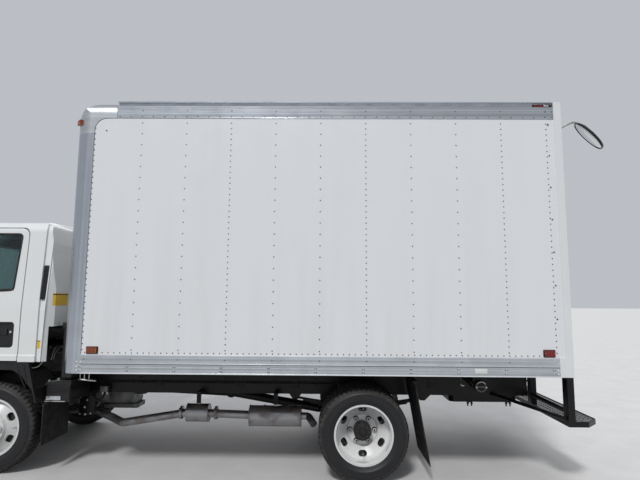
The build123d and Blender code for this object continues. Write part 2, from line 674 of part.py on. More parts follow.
def cross_sills():
    """I-shaped sills across the rails, one below each post."""
    sills = []
    for x in post_places():
        beam = block(x - CROSS_SILL_W / 2, x + CROSS_SILL_W / 2, -SKIN_Y, SKIN_Y, CROSS_SILL_Z, FLOOR_Z)
        for side in (-1, 1):
            beam -= block(x + side * 4, x + side * CROSS_SILL_W, -SKIN_Y, SKIN_Y,
                          CROSS_SILL_Z + CROSS_SILL_T, FLOOR_Z - CROSS_SILL_T)
        sills.append(beam)
    return together(*sills)


# Box body: floor, walls, roof, rails, corner posts and the rounded front header

def rounded_front(half_w, front_x, corner_r, rear_x):
    """A plan rectangle whose two front corners are round."""
    points = [(front_x, -half_w), (rear_x, -half_w), (rear_x, half_w), (front_x, half_w)]
    return outline(points, radii={0: corner_r, 3: corner_r})


def box_floor():
    return prism_xy(rounded_front(WALL_IN_Y, FRONT_WALL_IN_X, CORNER_IN_R, REAR_FRAME_X), FLOOR_Z, DECK_TOP)


def cap_window():
    """What the header leaves open on each side, with a round upper front corner, seen from the side."""
    return outline([(FLANGE_X, CAP_BOTTOM - 1), (CAP_REAR_X + 1, CAP_BOTTOM - 1),
                    (CAP_REAR_X + 1, TOP_RAIL_BOTTOM), (FLANGE_X, TOP_RAIL_BOTTOM)], radii={3: CAP_SIDE_R})


def box_walls():
    side = block(CORNER_X, REAR_FRAME_X, -SKIN_Y, -WALL_IN_Y, FLOOR_Z, CAP_BOTTOM)
    side += block(CAP_REAR_X, REAR_FRAME_X, -SKIN_Y, -WALL_IN_Y, CAP_BOTTOM, COVE_BOTTOM - SHEET_PROUD)
    side += prism_xz(cap_window(), -SKIN_Y, -WALL_IN_Y)
    front = block(FRONT_WALL_X, FRONT_WALL_IN_X, -CORNER_Y, CORNER_Y, FLOOR_Z, HEADER_Z)
    return together(both_sides(side), front)


def box_roof():
    low = BOX_TOP - ROOF_T
    crown = make_face([ThreePointArc((-WALL_IN_Y, BOX_TOP), (0, BOX_TOP + ROOF_CROWN), (WALL_IN_Y, BOX_TOP)),
                       Polyline((WALL_IN_Y, BOX_TOP), (WALL_IN_Y, low), (-WALL_IN_Y, low),
                                (-WALL_IN_Y, BOX_TOP))])
    return prism_yz(crown, CAP_REAR_X, REAR_FRAME_X)


def bottom_rail():
    """An extrusion with a groove, hooked below the floor's edge."""
    y_out, groove_z = BOX_HALF_W, BOX_BOTTOM + RAIL_GROOVE
    face = make_face(Polyline((-y_out, BOX_BOTTOM), (-y_out, groove_z - 4), (2 - y_out, groove_z - 4),
                              (2 - y_out, groove_z + 4), (-y_out, groove_z + 4), (-y_out, BOTTOM_RAIL_TOP),
                              (-SKIN_Y, BOTTOM_RAIL_TOP), (-SKIN_Y, CROSS_SILL_Z), (-WALL_IN_Y, CROSS_SILL_Z),
                              (-WALL_IN_Y, BOX_BOTTOM), close=True))
    return prism_yz(face, FLANGE_X, REAR_FRAME_X - REAR_FOOT)


def top_rail():
    """An extrusion with a cove below the roof's edge."""
    y_out, y_cove, lip = -BOX_HALF_W, -BOX_HALF_W + COVE_DEPTH, BOX_TOP - ROOF_LIP_H
    face = make_face(Polyline((y_out, TOP_RAIL_BOTTOM), (y_out, COVE_BOTTOM), (y_cove, COVE_BOTTOM),
                              (y_cove, lip), (y_out + 4, lip), (y_out + 4, BOX_TOP), (-WALL_IN_Y, BOX_TOP),
                              (-WALL_IN_Y, COVE_BOTTOM - SHEET_PROUD), (-SKIN_Y, COVE_BOTTOM - SHEET_PROUD),
                              (-SKIN_Y, TOP_RAIL_BOTTOM), close=True))
    return prism_yz(face, CAP_REAR_X, REAR_FRAME_X)


def box_side_rails():
    return together(both_sides(bottom_rail()), both_sides(top_rail()))


def box_corner_posts():
    centre = Pos(CORNER_X, -CORNER_Y)
    quarter = Pos(CORNER_X - CORNER_R, -CORNER_Y - CORNER_R) * Rectangle(2 * CORNER_R, 2 * CORNER_R)
    band = (centre * Circle(CORNER_R) - centre * Circle(CORNER_IN_R)) & quarter
    post = prism_xy(band, BOX_BOTTOM, CAP_BOTTOM)
    post += block(CORNER_X, FLANGE_X, -BOX_HALF_W, -SKIN_Y, BOX_BOTTOM, CAP_BOTTOM)
    post += block(BOX_FRONT_X, FRONT_WALL_X, -CORNER_Y, -CORNER_Y + POST_FLANGE, BOX_BOTTOM, CAP_BOTTOM)
    return both_sides(post)


def header_body(inset):
    """The front top of the box, rounded towards the front, round its corners and along its sides."""
    front_x, half_w, top = BOX_FRONT_X + inset, BOX_HALF_W - inset, BOX_TOP - inset
    low, rear = CAP_BOTTOM - inset, CAP_REAR_X + inset
    side = outline([(front_x, low), (rear, low), (rear, top), (front_x, top)], radii={3: HEADER_R - inset})
    across = outline([(-half_w, low), (half_w, low), (half_w, top), (-half_w, top)],
                     radii={2: CAP_SIDE_R - inset, 3: CAP_SIDE_R - inset})
    solid = prism_xz(side, -half_w, half_w) & prism_yz(across, front_x, rear)
    return solid & prism_xy(rounded_front(half_w, front_x, CORNER_R - inset, rear), low, top)


def box_front_header():
    header = header_body(0) - header_body(SHEET_PROUD + WALL_T)
    header -= block(BOX_FRONT_X - 1, FRONT_WALL_IN_X, -CORNER_Y, CORNER_Y, CAP_BOTTOM - 1, HEADER_Z)
    for side in (-1, 1):
        header -= prism_xz(cap_window(), *sorted((side * (WALL_IN_Y - 1), side * (BOX_HALF_W + 1))))
    return header


# Rear frame, roll-up door, lamps

def rear_frame():
    frame = block(REAR_FRAME_X, BOX_REAR_X, -BOX_HALF_W, BOX_HALF_W, BOX_BOTTOM, BOX_TOP)
    inner = BOX_HALF_W - REAR_POST_W
    frame -= block(REAR_FRAME_X - 1, BOX_REAR_X + 1, -inner, inner, DECK_TOP, BOX_TOP - REAR_HEADER_H)
    foot = block(REAR_FRAME_X - REAR_FOOT, REAR_FRAME_X, -BOX_HALF_W, -SKIN_Y, BOX_BOTTOM, BOTTOM_RAIL_TOP)
    return frame + foot + mirrored(foot)


def roll_up_door():
    """Slats with gaps between them on a backing, and a handle plate on the lowest one."""
    half = BOX_HALF_W - REAR_POST_W - 2
    height = (BOX_TOP - REAR_HEADER_H - DECK_TOP) / DOOR_SLATS
    x0 = REAR_FRAME_X + 22
    x1 = x0 + SLAT_T
    door = block(x0, x1 - 6, -half, half, DECK_TOP, BOX_TOP - REAR_HEADER_H)
    for n in range(DOOR_SLATS):
        z = DECK_TOP + n * height
        door += block(x1 - 6, x1, -half, half, z + SLAT_GAP / 2, z + height - SLAT_GAP / 2)
    return door + block(x1, x1 + 14, -60, 60, DECK_TOP + 60, DECK_TOP + 150)


def side_lamp(x, z):
    """A side lamp whose front lower corner is at x and z, on the skin of the wall."""
    return block(x, x + LAMP_L, -SKIN_Y - LAMP_T, -SKIN_Y, z, z + LAMP_H)


def amber_lights():
    """Side lamps at the front of the walls, and marker lamps on the header's round corners."""
    middle = Pos(CORNER_X, -CORNER_Y, CAP_BOTTOM + 110) * Rot(0, 0, 45)
    marker = middle * Pos(-CORNER_R, 0, 0) * Box(40, 66, 44) - header_body(0)
    return together(both_sides(side_lamp(FLANGE_X + 53, BOTTOM_RAIL_TOP + 11)), both_sides(marker))


def red_lights():
    lamps = [both_sides(side_lamp(REAR_FRAME_X - 183, BOTTOM_RAIL_TOP + 12))]
    cove = block(REAR_FRAME_X - 170, REAR_FRAME_X - 86, -BOX_HALF_W + COVE_DEPTH - 10, -BOX_HALF_W + COVE_DEPTH,
                 COVE_BOTTOM + 9, COVE_BOTTOM + 29)
    lamps.append(both_sides(cove))
    for y in (BOX_HALF_W - 129, BOX_HALF_W - 319):
        lamp = Pos(BOX_REAR_X + 10, -y, BOX_BOTTOM + 55) * Rot(0, 90, 0) * Cylinder(TAIL_LAMP_R, 20)
        lamps.append(both_sides(lamp))
    for y in (-180, 0, 180):
        lamps.append(block(BOX_REAR_X, BOX_REAR_X + 16, y - 45, y + 45, BOX_TOP - 95, BOX_TOP - 65))
    return together(*lamps)


# Step bumper on four posts, with a cross tube and braces, and the backup mirror

def step_bumper():
    half, x0 = BOX_HALF_W, REAR_FRAME_X
    plan = outline([(x0, -half), (STEP_REAR_X - STEP_CHAMFER, -half), (STEP_REAR_X, -half + STEP_CHAMFER),
                    (STEP_REAR_X, half - STEP_CHAMFER), (STEP_REAR_X - STEP_CHAMFER, half), (x0, half)])
    step = prism_xy(plan, STEP_TOP - STEP_T, STEP_TOP)
    step -= block(REAR_FRAME_X + 60, STEP_REAR_X - 60, -half + 180, half - 180,
                  STEP_TOP - STEP_T - 1, STEP_TOP - 8)
    for y0, y1 in ((-half, -half + REAR_POST_W), (-FRAME_HALF_W - 40, -FRAME_HALF_W + 40)):
        post = block(REAR_FRAME_X, BOX_REAR_X - 10, y0, y1, STEP_TOP, BOX_BOTTOM)
        step += post + mirrored(post)
    step += bar_y(REAR_FRAME_X + 28, STEP_TOP + 77, REAR_POST_W - half, half - REAR_POST_W, STEP_TUBE_R)
    for side in (-1, 1):
        foot = (REAR_FRAME_X + 4, side * (half - 33), STEP_TOP + 20)
        rail_side = (FRAME_REAR_X - 357, side * (FRAME_HALF_W + STEP_BRACE_R), FRAME_BOTTOM + 20)
        step += rod(foot, rail_side, STEP_BRACE_R)
    return step


def backup_mirror():
    """A round convex mirror on an arm at the rear left top corner."""
    y = 69 - BOX_HALF_W
    centre = Vector(MIRROR_REAR_X - 125, y, BOX_TOP - 294)
    normal = Vector(-0.68, 0.35, -0.645).normalized()
    cup = make_face([Line((0, 26), (MIRROR_R, 4)), Line((MIRROR_R, 4), (MIRROR_R, -12)),
                     ThreePointArc((MIRROR_R, -12), (MIRROR_R * 0.6, -48), (0, -60)),
                     Line((0, -60), (0, 26))])
    head = Plane(centre, z_dir=normal) * revolve(Plane.XZ * cup, Axis.Z)
    arm_z = BOX_TOP - 230
    arm = pipe([(BOX_REAR_X + 6, y, arm_z), (BOX_REAR_X + 124, y, arm_z + 65),
                (BOX_REAR_X + 174, y, arm_z + 70), tuple(centre - normal * 55)], MIRROR_ARM_R, 20)
    return head + arm + block(BOX_REAR_X, BOX_REAR_X + 8, y - 35, y + 35, arm_z - 40, arm_z + 40)


# Cab: one outer form, and layers of it at any depth, from which shell, doors, glass and lamps are cut.
# From here to the steps and arch liners, heights are counted from the top of the rails.

LOW = -400
SIDES = 2 * CAB_HALF_W


def cab_form(inset):
    """The cab's outer form, moved inwards by inset: leaning windshield, crowned roof, leaning back."""
    slope = WINDSHIELD_LEAN / (WINDSHIELD_TOP - CAB_BELT)
    faces = []
    for z in (LOW, CAB_BELT, CAB_ROOF + 60):
        x = CAB_FRONT_X + max(0, z - CAB_BELT) * slope
        faces.append(Pos(0, 0, z) * nose_face(x, CAB_HALF_W, CAB_REAR_X, inset, CAB_REAR_CHAMFER))
    back_x, wall_x, top = CAB_REAR_X - inset, CAB_REAR_X - 22 - inset, CAB_ROOF - inset
    side = outline([(CAB_FRONT_X - 300, LOW), (CAB_FRONT_X - 300, top - 87), (inset - 930, top - 87),
                    (inset - 790, top - 16), (-250, top), (230, top - 4), (wall_x - 78, top - 30),
                    (wall_x, BACK_BOTTOM + 328), (wall_x, BACK_BOTTOM - 12), (back_x, BACK_BOTTOM - 22),
                    (back_x, LOW)],
                   radii={3: 500 - inset, 4: 6000, 5: 300, 6: 110 - inset})
    half = CAB_HALF_W + 9 - inset
    roof = outline([(-half, LOW), (half, LOW), (half, CAB_BELT), (half - 63, top - 50), (0, top),
                    (63 - half, top - 50), (-half, CAB_BELT)], radii={3: 110 - inset, 4: 6000, 5: 110 - inset})
    body = loft(faces, ruled=True) & prism_xz(side, -SIDES, SIDES)
    return body & prism_yz(roof, CAB_FRONT_X - 1, CAB_REAR_X + 1)


def cab_outside():
    """The outer form with side panels that end ahead of recessed rear corners, and a ledge on each sill."""
    rear = CAB_PANEL_REAR_X
    panel = outline([(CAB_FRONT_X - 300, LOW), (rear, LOW), (rear, CAB_ROOF + 2),
                     (CAB_FRONT_X - 300, CAB_ROOF + 2)], radii={2: 120})
    outer = cab_form(0) & prism_xz(panel, -SIDES, SIDES)
    outer += cab_form(CAB_RECESS)
    flange = outline([(rear + 36, ARCH_TOP), (rear + 48, ARCH_TOP), (rear + 78, CAB_ROOF),
                      (rear + 66, CAB_ROOF)])
    outer += cab_form(5) & prism_xz(flange, -SIDES, SIDES)
    for side in (-1, 1):
        y = side * CAB_HALF_W
        ledge = make_face(Polyline((y - side, ARCH_TOP), (y + side * LEDGE_T, ARCH_TOP),
                                   (y + side * LEDGE_T, ARCH_TOP + LEDGE_H - 14),
                                   (y - side, ARCH_TOP + LEDGE_H), close=True))
        outer += prism_yz(ledge, -330, rear)
    return outer


def left_of_cab(face):
    """A face in X and Z cut through the left side of the cab."""
    return prism_xz(face, -SIDES, -700)


def door_outline(gap):
    """The door's outline in X and Z, moved inwards by gap, with its corner cut off by the wheel arch."""
    front, rear, top = DOOR_FRONT_X + gap, DOOR_REAR_X - gap, DOOR_TOP - gap
    low, high = 45 + gap, ARCH_TOP + gap
    return outline([(front, low), (-470, low), (-330, high), (rear, high), (rear, top), (-735 + gap, top),
                    (front, CAB_BELT)], radii={0: 25, 1: 40, 4: 70, 5: 60, 6: 100})


def door_window():
    return outline([(-795, 690), (-330, 797), (158, 830), (188, 1370), (-675, 1370)],
                   radii={0: 40, 1: 200, 2: 40, 3: 50, 4: 60})


def handle_pocket():
    return outline([(-60, 318), (190, 318), (190, 548), (-60, 548)], 32)


def windshield_cut():
    low, high = CAB_BELT + 35, WINDSHIELD_TOP - 15
    half = CAB_HALF_W - 120
    face = outline([(-half, low), (half, low), (half - 38, high), (38 - half, high)], 70)
    return prism_yz(face, CAB_FRONT_X - 50, -700)


def rear_window_cut():
    opening = Pos(0, BACK_BOTTOM + 538) * RectangleRounded(960, 360, 50)
    return prism_yz(opening, CAB_REAR_X - 152, CAB_REAR_X + 50)


def grille_cut():
    half, low, high = 540, -70, 180
    face = outline([(30 - half, low), (half - 30, low), (half, high), (-half, high)], 25)
    return prism_yz(face, CAB_FRONT_X - 50, CAB_FRONT_X + 130)


def headlight_cut(side):
    near, far, low, high = side * 590, side * (CAB_HALF_W + 25), -75, 95
    face = outline([(near, low), (far, low + 30), (far, high + 40), (near, high)], 18)
    return prism_yz(face, CAB_FRONT_X - 50, CAB_FRONT_X + 230)


def cab_underside():
    """What the cab leaves open below: the wheel arches and the space over the engine."""
    front, rear = CAB_FRONT_X - 200, CAB_REAR_X + 50
    arch = outline([(front, LOW - 10), (front, CAB_BOTTOM), (-500, CAB_BOTTOM), (-330, ARCH_TOP),
                    (rear, ARCH_TOP), (rear, LOW - 10)])
    inner = CAB_HALF_W - CAB_WALL
    return prism_xz(arch, -SIDES, SIDES) + block(CAB_REAR_X - 120, rear, -inner, inner, LOW, BACK_BOTTOM)


def cab_body(outside, hollow):
    body = outside - hollow - cab_underside()
    opening = left_of_cab(door_outline(0))
    body -= opening + mirrored(opening)
    body -= windshield_cut() + rear_window_cut() + grille_cut()
    for side in (-1, 1):
        near, far = side * (RAIL_LIP_Y - TILT_EAR_T - 10), side * (FRAME_HALF_W + TILT_EAR_T + 10)
        body -= block(CAB_FRONT_X + 27, CAB_FRONT_X + 100, near, far, LOW, -60)
    return body - headlight_cut(-1) - headlight_cut(1)


def cab_door(outside):
    """A door with a stepped edge, cut from the outer layers of the cab, with its window and handle pocket."""
    middle = cab_form(DOOR_SKIN)
    skin = (outside - middle) & left_of_cab(door_outline(DOOR_GAP))
    frame = (middle - cab_form(DOOR_T)) & left_of_cab(door_outline(DOOR_GAP + DOOR_STEP))
    door = skin + frame - left_of_cab(door_window())
    return door - prism_xz(handle_pocket(), -SIDES, -CAB_HALF_W + 14)


def glass_layer():
    return cab_form(GLASS_INSET) - cab_form(GLASS_INSET + GLASS_T)


def cab_floor():
    """Footwell, seat base and rear shelf in one pan, with the lugs of the tilt hinge below its front."""
    t, well, base, shelf = FLOOR_PAN_T, FOOTWELL, SEAT_BASE, BACK_BOTTOM
    front, rear = CAB_FRONT_X, CAB_REAR_X
    face = make_face(Polyline((front, well - t), (-520, well - t), (-440, base - t), (170, base - t),
                              (190, shelf - t), (rear, shelf - t), (rear, shelf), (150, shelf), (130, base),
                              (-470, base), (-550, well), (front, well), close=True))
    pan = prism_xz(face, -SIDES, SIDES) & cab_form(CAB_WALL)
    door_side = CAB_HALF_W - DOOR_T - 8
    for side in (-1, 1):
        pan -= block(DOOR_FRONT_X - 12, DOOR_REAR_X + 12, side * door_side, side * SIDES, LOW, CAB_ROOF)
    lug_y = (RAIL_LIP_Y + TILT_LUG_GAP, FRAME_HALF_W - TILT_LUG_GAP)
    lug_low, lug_x0, lug_x1 = -TILT_PIN_DROP - TILT_EAR_R, TILT_PIN_X - TILT_EAR_R, TILT_PIN_X + TILT_EAR_R
    lug = outline([(lug_x0, lug_low), (lug_x1, lug_low), (lug_x1 + 12, 20), (lug_x1 + 56, well - t),
                   (lug_x0 + 14, well - t)], radii={0: 30, 1: 30})
    for side in (-1, 1):
        pan += prism_xz(lug, *sorted((side * lug_y[0], side * lug_y[1])))
    bore = bar_y(TILT_PIN_X, -TILT_PIN_DROP, -FRAME_HALF_W, FRAME_HALF_W, TILT_PIN_R + BEARING_CLEARANCE)
    return pan - bore


def steering_wheel():
    """A rim, spokes and hub on a column that stands on the footwell."""
    wheel = Torus(WHEEL_R, 14) + Pos(0, 0, -18) * Cylinder(52, 40)
    for angle in (20, 160, 270):
        wheel += Rot(0, 0, angle) * Pos(130, 0, -6) * Box(180, 30, 12)
    wheel += Pos(0, 0, -70) * Cylinder(26, 80)
    lean = math.radians(WHEEL_TILT)
    length = (WHEEL_PLACE[2] - FOOTWELL - COLUMN_R * math.sin(lean) - 1) / math.cos(lean)
    wheel += Pos(0, 0, -length / 2 - 50) * Cylinder(COLUMN_R, length - 100)
    return Pos(*WHEEL_PLACE) * Rot(0, WHEEL_TILT, 0) * wheel


def dashboard():
    """A padded board across the cab with a hood over the dials, open below for the column."""
    face = outline([(-1130, 325), (-985, 285), (-905, 385), (-900, 485), (-960, 595), (-1110, 547)], 22)
    hood = outline([(-1010, 565), (-900, 495), (-880, 635), (-985, 650)], 15)
    wheel_y = WHEEL_PLACE[1]
    board = prism_xz(face, -SIDES, SIDES) + prism_xz(hood, wheel_y - 190, wheel_y + 190)
    board &= cab_form(CAB_WALL)
    for side in (-1, 1):
        board -= block(DOOR_FRONT_X - 12, -700, side * (CAB_HALF_W - DOOR_T - 8), side * SIDES, LOW, CAB_ROOF)
    column = Pos(*WHEEL_PLACE) * Rot(0, WHEEL_TILT, 0) * Pos(0, 0, -400) * Cylinder(COLUMN_R + 4, 800)
    return board - column


def cab_seats():
    """A driver's seat and two passenger seats: cushion, leaning back and headrest, on the seat base."""
    seats = []
    for y0, y1 in ((-775, -285), (-60, 330), (345, 790)):
        cushion = block(-390, 90, y0, y1, SEAT_BASE, SEAT_BASE + 120)
        seat = fillet(cushion.edges().filter_by(Axis.Z), 40)
        back = outline([(55, BACK_BOTTOM - 12), (90, BACK_BOTTOM - 12), (110, BACK_BOTTOM), (172, BACK_BOTTOM),
                        (290, 1095), (200, 1115)], radii={4: 20, 5: 20})
        seat += prism_xz(back, y0 + 10, y1 - 10)
        middle = (y0 + y1) / 2
        headrest = outline([(210, 1080), (285, 1080), (305, 1275), (240, 1275)], 20)
        seat += prism_xz(headrest, middle - 120, middle + 120)
        seats.append(seat)
    return together(*seats)


def grille(form):
    """A thick moulded panel with slots between its bars."""
    piece = (form - cab_form(34)) & grille_cut()
    for n in range(4):
        slot = Pos(0, -34 + n * 55) * RectangleRounded(970, 32, 8)
        piece -= prism_yz(slot, CAB_FRONT_X - 60, CAB_FRONT_X + 160)
    return piece


def headlights(form):
    layer = form - cab_form(CAB_WALL - 1)
    return together(layer & headlight_cut(-1), layer & headlight_cut(1))


def cab_steps():
    """The entry steps below the doors, ahead of the front wheels."""
    plan = nose_face(CAB_FRONT_X, CAB_HALF_W, CAB_REAR_X)
    low, front, rear = CAB_BOTTOM - CAB_STEP_H, DOOR_FRONT_X - 15, -505
    well = prism_xy(plan, low, CAB_BOTTOM) & block(front, rear, -SIDES, -740, low, CAB_BOTTOM)
    well -= block(front + 48, rear - 50, -SIDES, -790, low + 35, CAB_BOTTOM - 30)
    return both_sides(well)


def arch_liners():
    """A moulded liner over each front wheel, with the black panel that closes the arch below the sill."""
    axle = Vector(0, AXLE_Z - FRAME_TOP)
    arch = [Vector(x, z) for x, z in LINER_ARCH]
    inner = [axle + (p - axle) * (1 - LINER_T / (p - axle).length) for p in arch]
    outer_y = CAB_HALF_W - 4
    liner = prism_xz(outline([(p.X, p.Y) for p in arch + inner[::-1]]), -outer_y, -LINER_IN_Y)
    panel = outline([(-443, CAB_BOTTOM + 120), (-330, ARCH_TOP), (CAB_PANEL_REAR_X - 60, ARCH_TOP),
                     *[(p.X, p.Y) for p in arch[:1:-1]]])
    return both_sides(liner + prism_xz(panel, -outer_y, CAB_WALL - CAB_HALF_W))


def side_mirrors(form):
    """A main and a wide-angle mirror on a bent arm, its two feet seated on the cab."""
    out_y = -SIDE_MIRROR_Y
    arm = pipe([(-965, -960, 615), (-1040, -1140, 635), (-1060, -1215, 715), (-1060, -1215, 1255),
                (-1010, -1130, 1315), (-830, -900, 1300)], MIRROR_ARM_R, 45)
    arm += Pos(-980, -1000, 620) * Rot(0, 0, -25) * Box(60, 40, 70)
    arm += Pos(-872, -953, 1304) * Rot(0, 0, -38) * Box(60, 40, 50)
    arm -= form
    arm = max(arm.solids(), key=lambda s: s.volume)
    head = prism_yz(Pos((out_y - 1130) / 2, 955) * RectangleRounded(-1130 - out_y, 400, 45), -1075, -1000)
    small_face = Pos((out_y - 1150) / 2 + 4, 675) * RectangleRounded(-1158 - out_y, 130, 35)
    small = prism_yz(small_face, -1080, -1010)
    return both_sides(arm + head + small)


# Wheels: tyres and rims turned from profiles, with hand holes and studs

def tyre():
    """A solid carcass with round sidewalls between the rim's flanges and the tread."""
    half, bead = TYRE_W / 2, RIM_W / 2 - RIM_FLANGE_T - TYRE_CLEARANCE
    seat, flank = RIM_SEAT_R + TYRE_CLEARANCE, RIM_SEAT_R + 14
    shoulder, tread = TYRE_R - 22, TREAD_W / 2
    bulge = (flank + shoulder) / 2
    edges = [Line((-bead, flank), (-bead, seat)), Line((-bead, seat), (bead, seat)),
             Line((bead, seat), (bead, flank)), Line((-tread, TYRE_R), (tread, TYRE_R))]
    for side in (-1, 1):
        edges.append(ThreePointArc((side * bead, flank), (side * half, bulge), (side * (half - 10), shoulder)))
        edges.append(Line((side * (half - 10), shoulder), (side * tread, TYRE_R)))
    return revolve(Plane.YZ * make_face(edges), Axis.Y)


def rim():
    """A disc wheel with its outboard side towards +Y and its rim centred on the origin."""
    edge, seat, bore = RIM_W / 2, RIM_SEAT_R, RIM_SEAT_R - RIM_WALL
    bead = edge - RIM_FLANGE_T
    ring = [(-edge, bore + 8), (-edge, RIM_FLANGE_R), (-bead, RIM_FLANGE_R), (-bead, seat), (bead, seat),
            (bead, RIM_FLANGE_R), (edge, RIM_FLANGE_R), (edge, bore + 8), (edge - 16, bore), (16 - edge, bore)]
    face, back = DISC_OFFSET, DISC_OFFSET - DISC_T
    disc = [(face, HUB_R + 0.5), (face, 138), (face - 22, 152), (face - DISC_DEPTH + 13, 222),
            (face - DISC_DEPTH, bore + 2), (back - DISC_DEPTH, bore + 2), (back - DISC_DEPTH + 10, 214),
            (back - 24, 144), (back, 132), (back, HUB_R + 0.5)]
    wheel = turned(ring) + turned(disc)
    slot = extrude(Plane.XZ * SlotOverall(HAND_HOLE_L, HAND_HOLE_H), 80, both=True)
    for n in range(HAND_HOLES):
        wheel -= Rot(0, n * 360 / HAND_HOLES, 0) * Pos(0, face - 50, HAND_HOLE_CIRCLE_R) * slot
    return wheel


def studs(y):
    """The ring of studs and nuts that hold a disc, standing up from y."""
    stud = bar_y(0, STUD_CIRCLE_R, y - 2, y + 22, STUD_R)
    return Compound(children=[Rot(0, (n + 0.5) * 360 / STUDS, 0) * stud for n in range(STUDS)])


def brake_drum(y0, y1, hub_r):
    """A drum from its open edge y0 to its web at y1, where it joins the hub."""
    wall = 12 if y1 > y0 else -12
    return turned([(y0, DRUM_R - 12), (y0, DRUM_R), (y1, DRUM_R), (y1, hub_r), (y1 - wall, hub_r),
                   (y1 - wall, DRUM_R - 12)])


def front_rim():
    """Disc outwards, with the hub that turns on the knuckle's spindle, and the brake drum behind it."""
    bore, face, back = SPINDLE_R + BEARING_CLEARANCE, DISC_OFFSET, DISC_OFFSET - DISC_T
    hub = turned([(-28, bore), (-28, 100), (back - 20, 100), (back - 12, 138), (back, 138), (back, HUB_R),
                  (face + 52, HUB_R - 8), (face + 52, 0), (face + 40, 0), (face + 40, bore)])
    return rim() + hub + brake_drum(-52, 40, 100) + studs(face)


def twin_rims():
    """Two discs bolted back to back, with the hub and brake drum they share, centred between the twins."""
    half, bore = TWIN_SPACING / 2, SPINDLE_R + BEARING_CLEARANCE
    inner_back = DISC_OFFSET - DISC_T - half
    hub = turned([(-140, bore), (-140, 130), (-128, 138), (inner_back, 138), (inner_back, HUB_R),
                  (95, HUB_R - 4), (95, 0), (40, 0), (40, bore)])
    outer, inner = Pos(0, half, 0) * mirrored(rim()), Pos(0, -half, 0) * rim()
    return outer + inner + hub + brake_drum(-205, -100, 130) + studs(half - DISC_OFFSET + DISC_T)


def twin_tyres():
    return together(*(Pos(0, side * TWIN_SPACING / 2, 0) * tyre() for side in (-1, 1)))


# Steering: a yoked knuckle with its kingpin, spindle and arm at each end of the beam, and the tie rod

def knuckle():
    """The right-hand knuckle, with its kingpin on the Z axis and its spindle towards +Y."""
    inner = EYE_H / 2 + YOKE_GAP
    outer = inner + YOKE_T
    piece = prism_xz(RectangleRounded(120, 2 * outer + 22, 30), 52, 74)
    for side in (-1, 1):
        ear = prism_xy(Circle(36), *sorted((side * inner, side * outer)))
        piece += ear + block(-36, 36, 0, 60, side * inner, side * outer)
    piece += Cylinder(KINGPIN_R, 2 * outer - 10)
    piece += bar_y(0, 0, 67, 73, DRUM_R - 27) - bar_y(0, 0, 60, 80, 45)
    reach = FRONT_TRACK_Y - KINGPIN_Y + DISC_OFFSET + 30
    piece += turned([(60, 0), (60, 42), (74, 42), (76, SPINDLE_R), (reach, SPINDLE_R), (reach, 0)])
    x, y = STEER_ARM_X, STEER_ARM_Y
    arm = outline([(-20, -10), (20, 30), (x + 22, 20 - y), (x + 22, -22 - y), (x - 22, -22 - y)], 12)
    return piece + prism_xy(arm, -outer, -outer + STEER_ARM_T)


def steering_knuckle(side):
    piece = Pos(0, KINGPIN_Y, AXLE_Z) * knuckle()
    return piece if side > 0 else mirrored(piece)


def tie_rod():
    """The rod between the ends of both steering arms, with its two end joints."""
    y, arm_low = KINGPIN_Y - STEER_ARM_Y, AXLE_Z - EYE_H / 2 - YOKE_GAP - YOKE_T
    z = arm_low - TIE_ROD_R - 4
    piece = bar_y(STEER_ARM_X, z, -y, y, TIE_ROD_R)
    for side in (-1, 1):
        piece += Pos(STEER_ARM_X, side * y, (z - 18 + arm_low - 2) / 2) * Cylinder(22, arm_low - 2 - z + 18)
    return piece


def place_wheel(piece, x, y):
    """Puts a wheel modelled with its outboard side towards +Y on the right (y > 0) or the left."""
    return Pos(x, y, AXLE_Z) * (piece if y > 0 else mirrored(piece))


def chassis_pieces():
    return {
        "ladder_frame": ladder_frame(), "front_bumper": front_bumper(), "front_axle": front_axle(),
        "leaf_springs": leaf_springs(), "rear_axle": rear_axle(), "engine_block": engine_block(),
        "radiator": radiator(), "gearbox": gearbox(), "driveshaft": driveshaft(), "exhaust": exhaust(),
        "fuel_tank": fuel_tank(), "battery_box": battery_box(), "air_intake": air_intake(),
        "mudflaps": mudflaps(), "step_bumper": step_bumper(),
    }


def box_pieces():
    return {
        "box_long_sills": long_sills(), "box_cross_sills": cross_sills(), "box_floor": box_floor(),
        "box_walls": box_walls(), "box_roof": box_roof(), "box_side_rails": box_side_rails(),
        "box_corner_posts": box_corner_posts(), "box_front_header": box_front_header(),
        "rear_frame": rear_frame(), "roll_up_door": roll_up_door(), "amber_lights": amber_lights(),
        "red_lights": red_lights(), "backup_mirror": backup_mirror(),
    }


def cab_pieces():
    """The pieces of the cab and its doors, lifted from the rails' top to their place."""
    form, outside, glass = cab_form(0), cab_outside(), glass_layer()
    left_door = cab_door(outside)
    left_glass = glass & left_of_cab(door_window())
    pieces = {
        "cab_body": cab_body(outside, cab_form(CAB_WALL)), "cab_floor": cab_floor(),
        "cab_windows": together(glass & windshield_cut(), glass & rear_window_cut()),
        "grille": grille(form), "headlights": headlights(form), "dashboard": dashboard(),
        "steering_wheel": steering_wheel(), "cab_seats": cab_seats(), "cab_steps": cab_steps(),
        "arch_liners": arch_liners(), "side_mirrors": side_mirrors(form),
        "left_door": left_door, "right_door": mirrored(left_door),
        "left_door_glass": left_glass, "right_door_glass": mirrored(left_glass),
    }
    return {name: Pos(0, 0, FRAME_TOP) * piece for name, piece in pieces.items()}


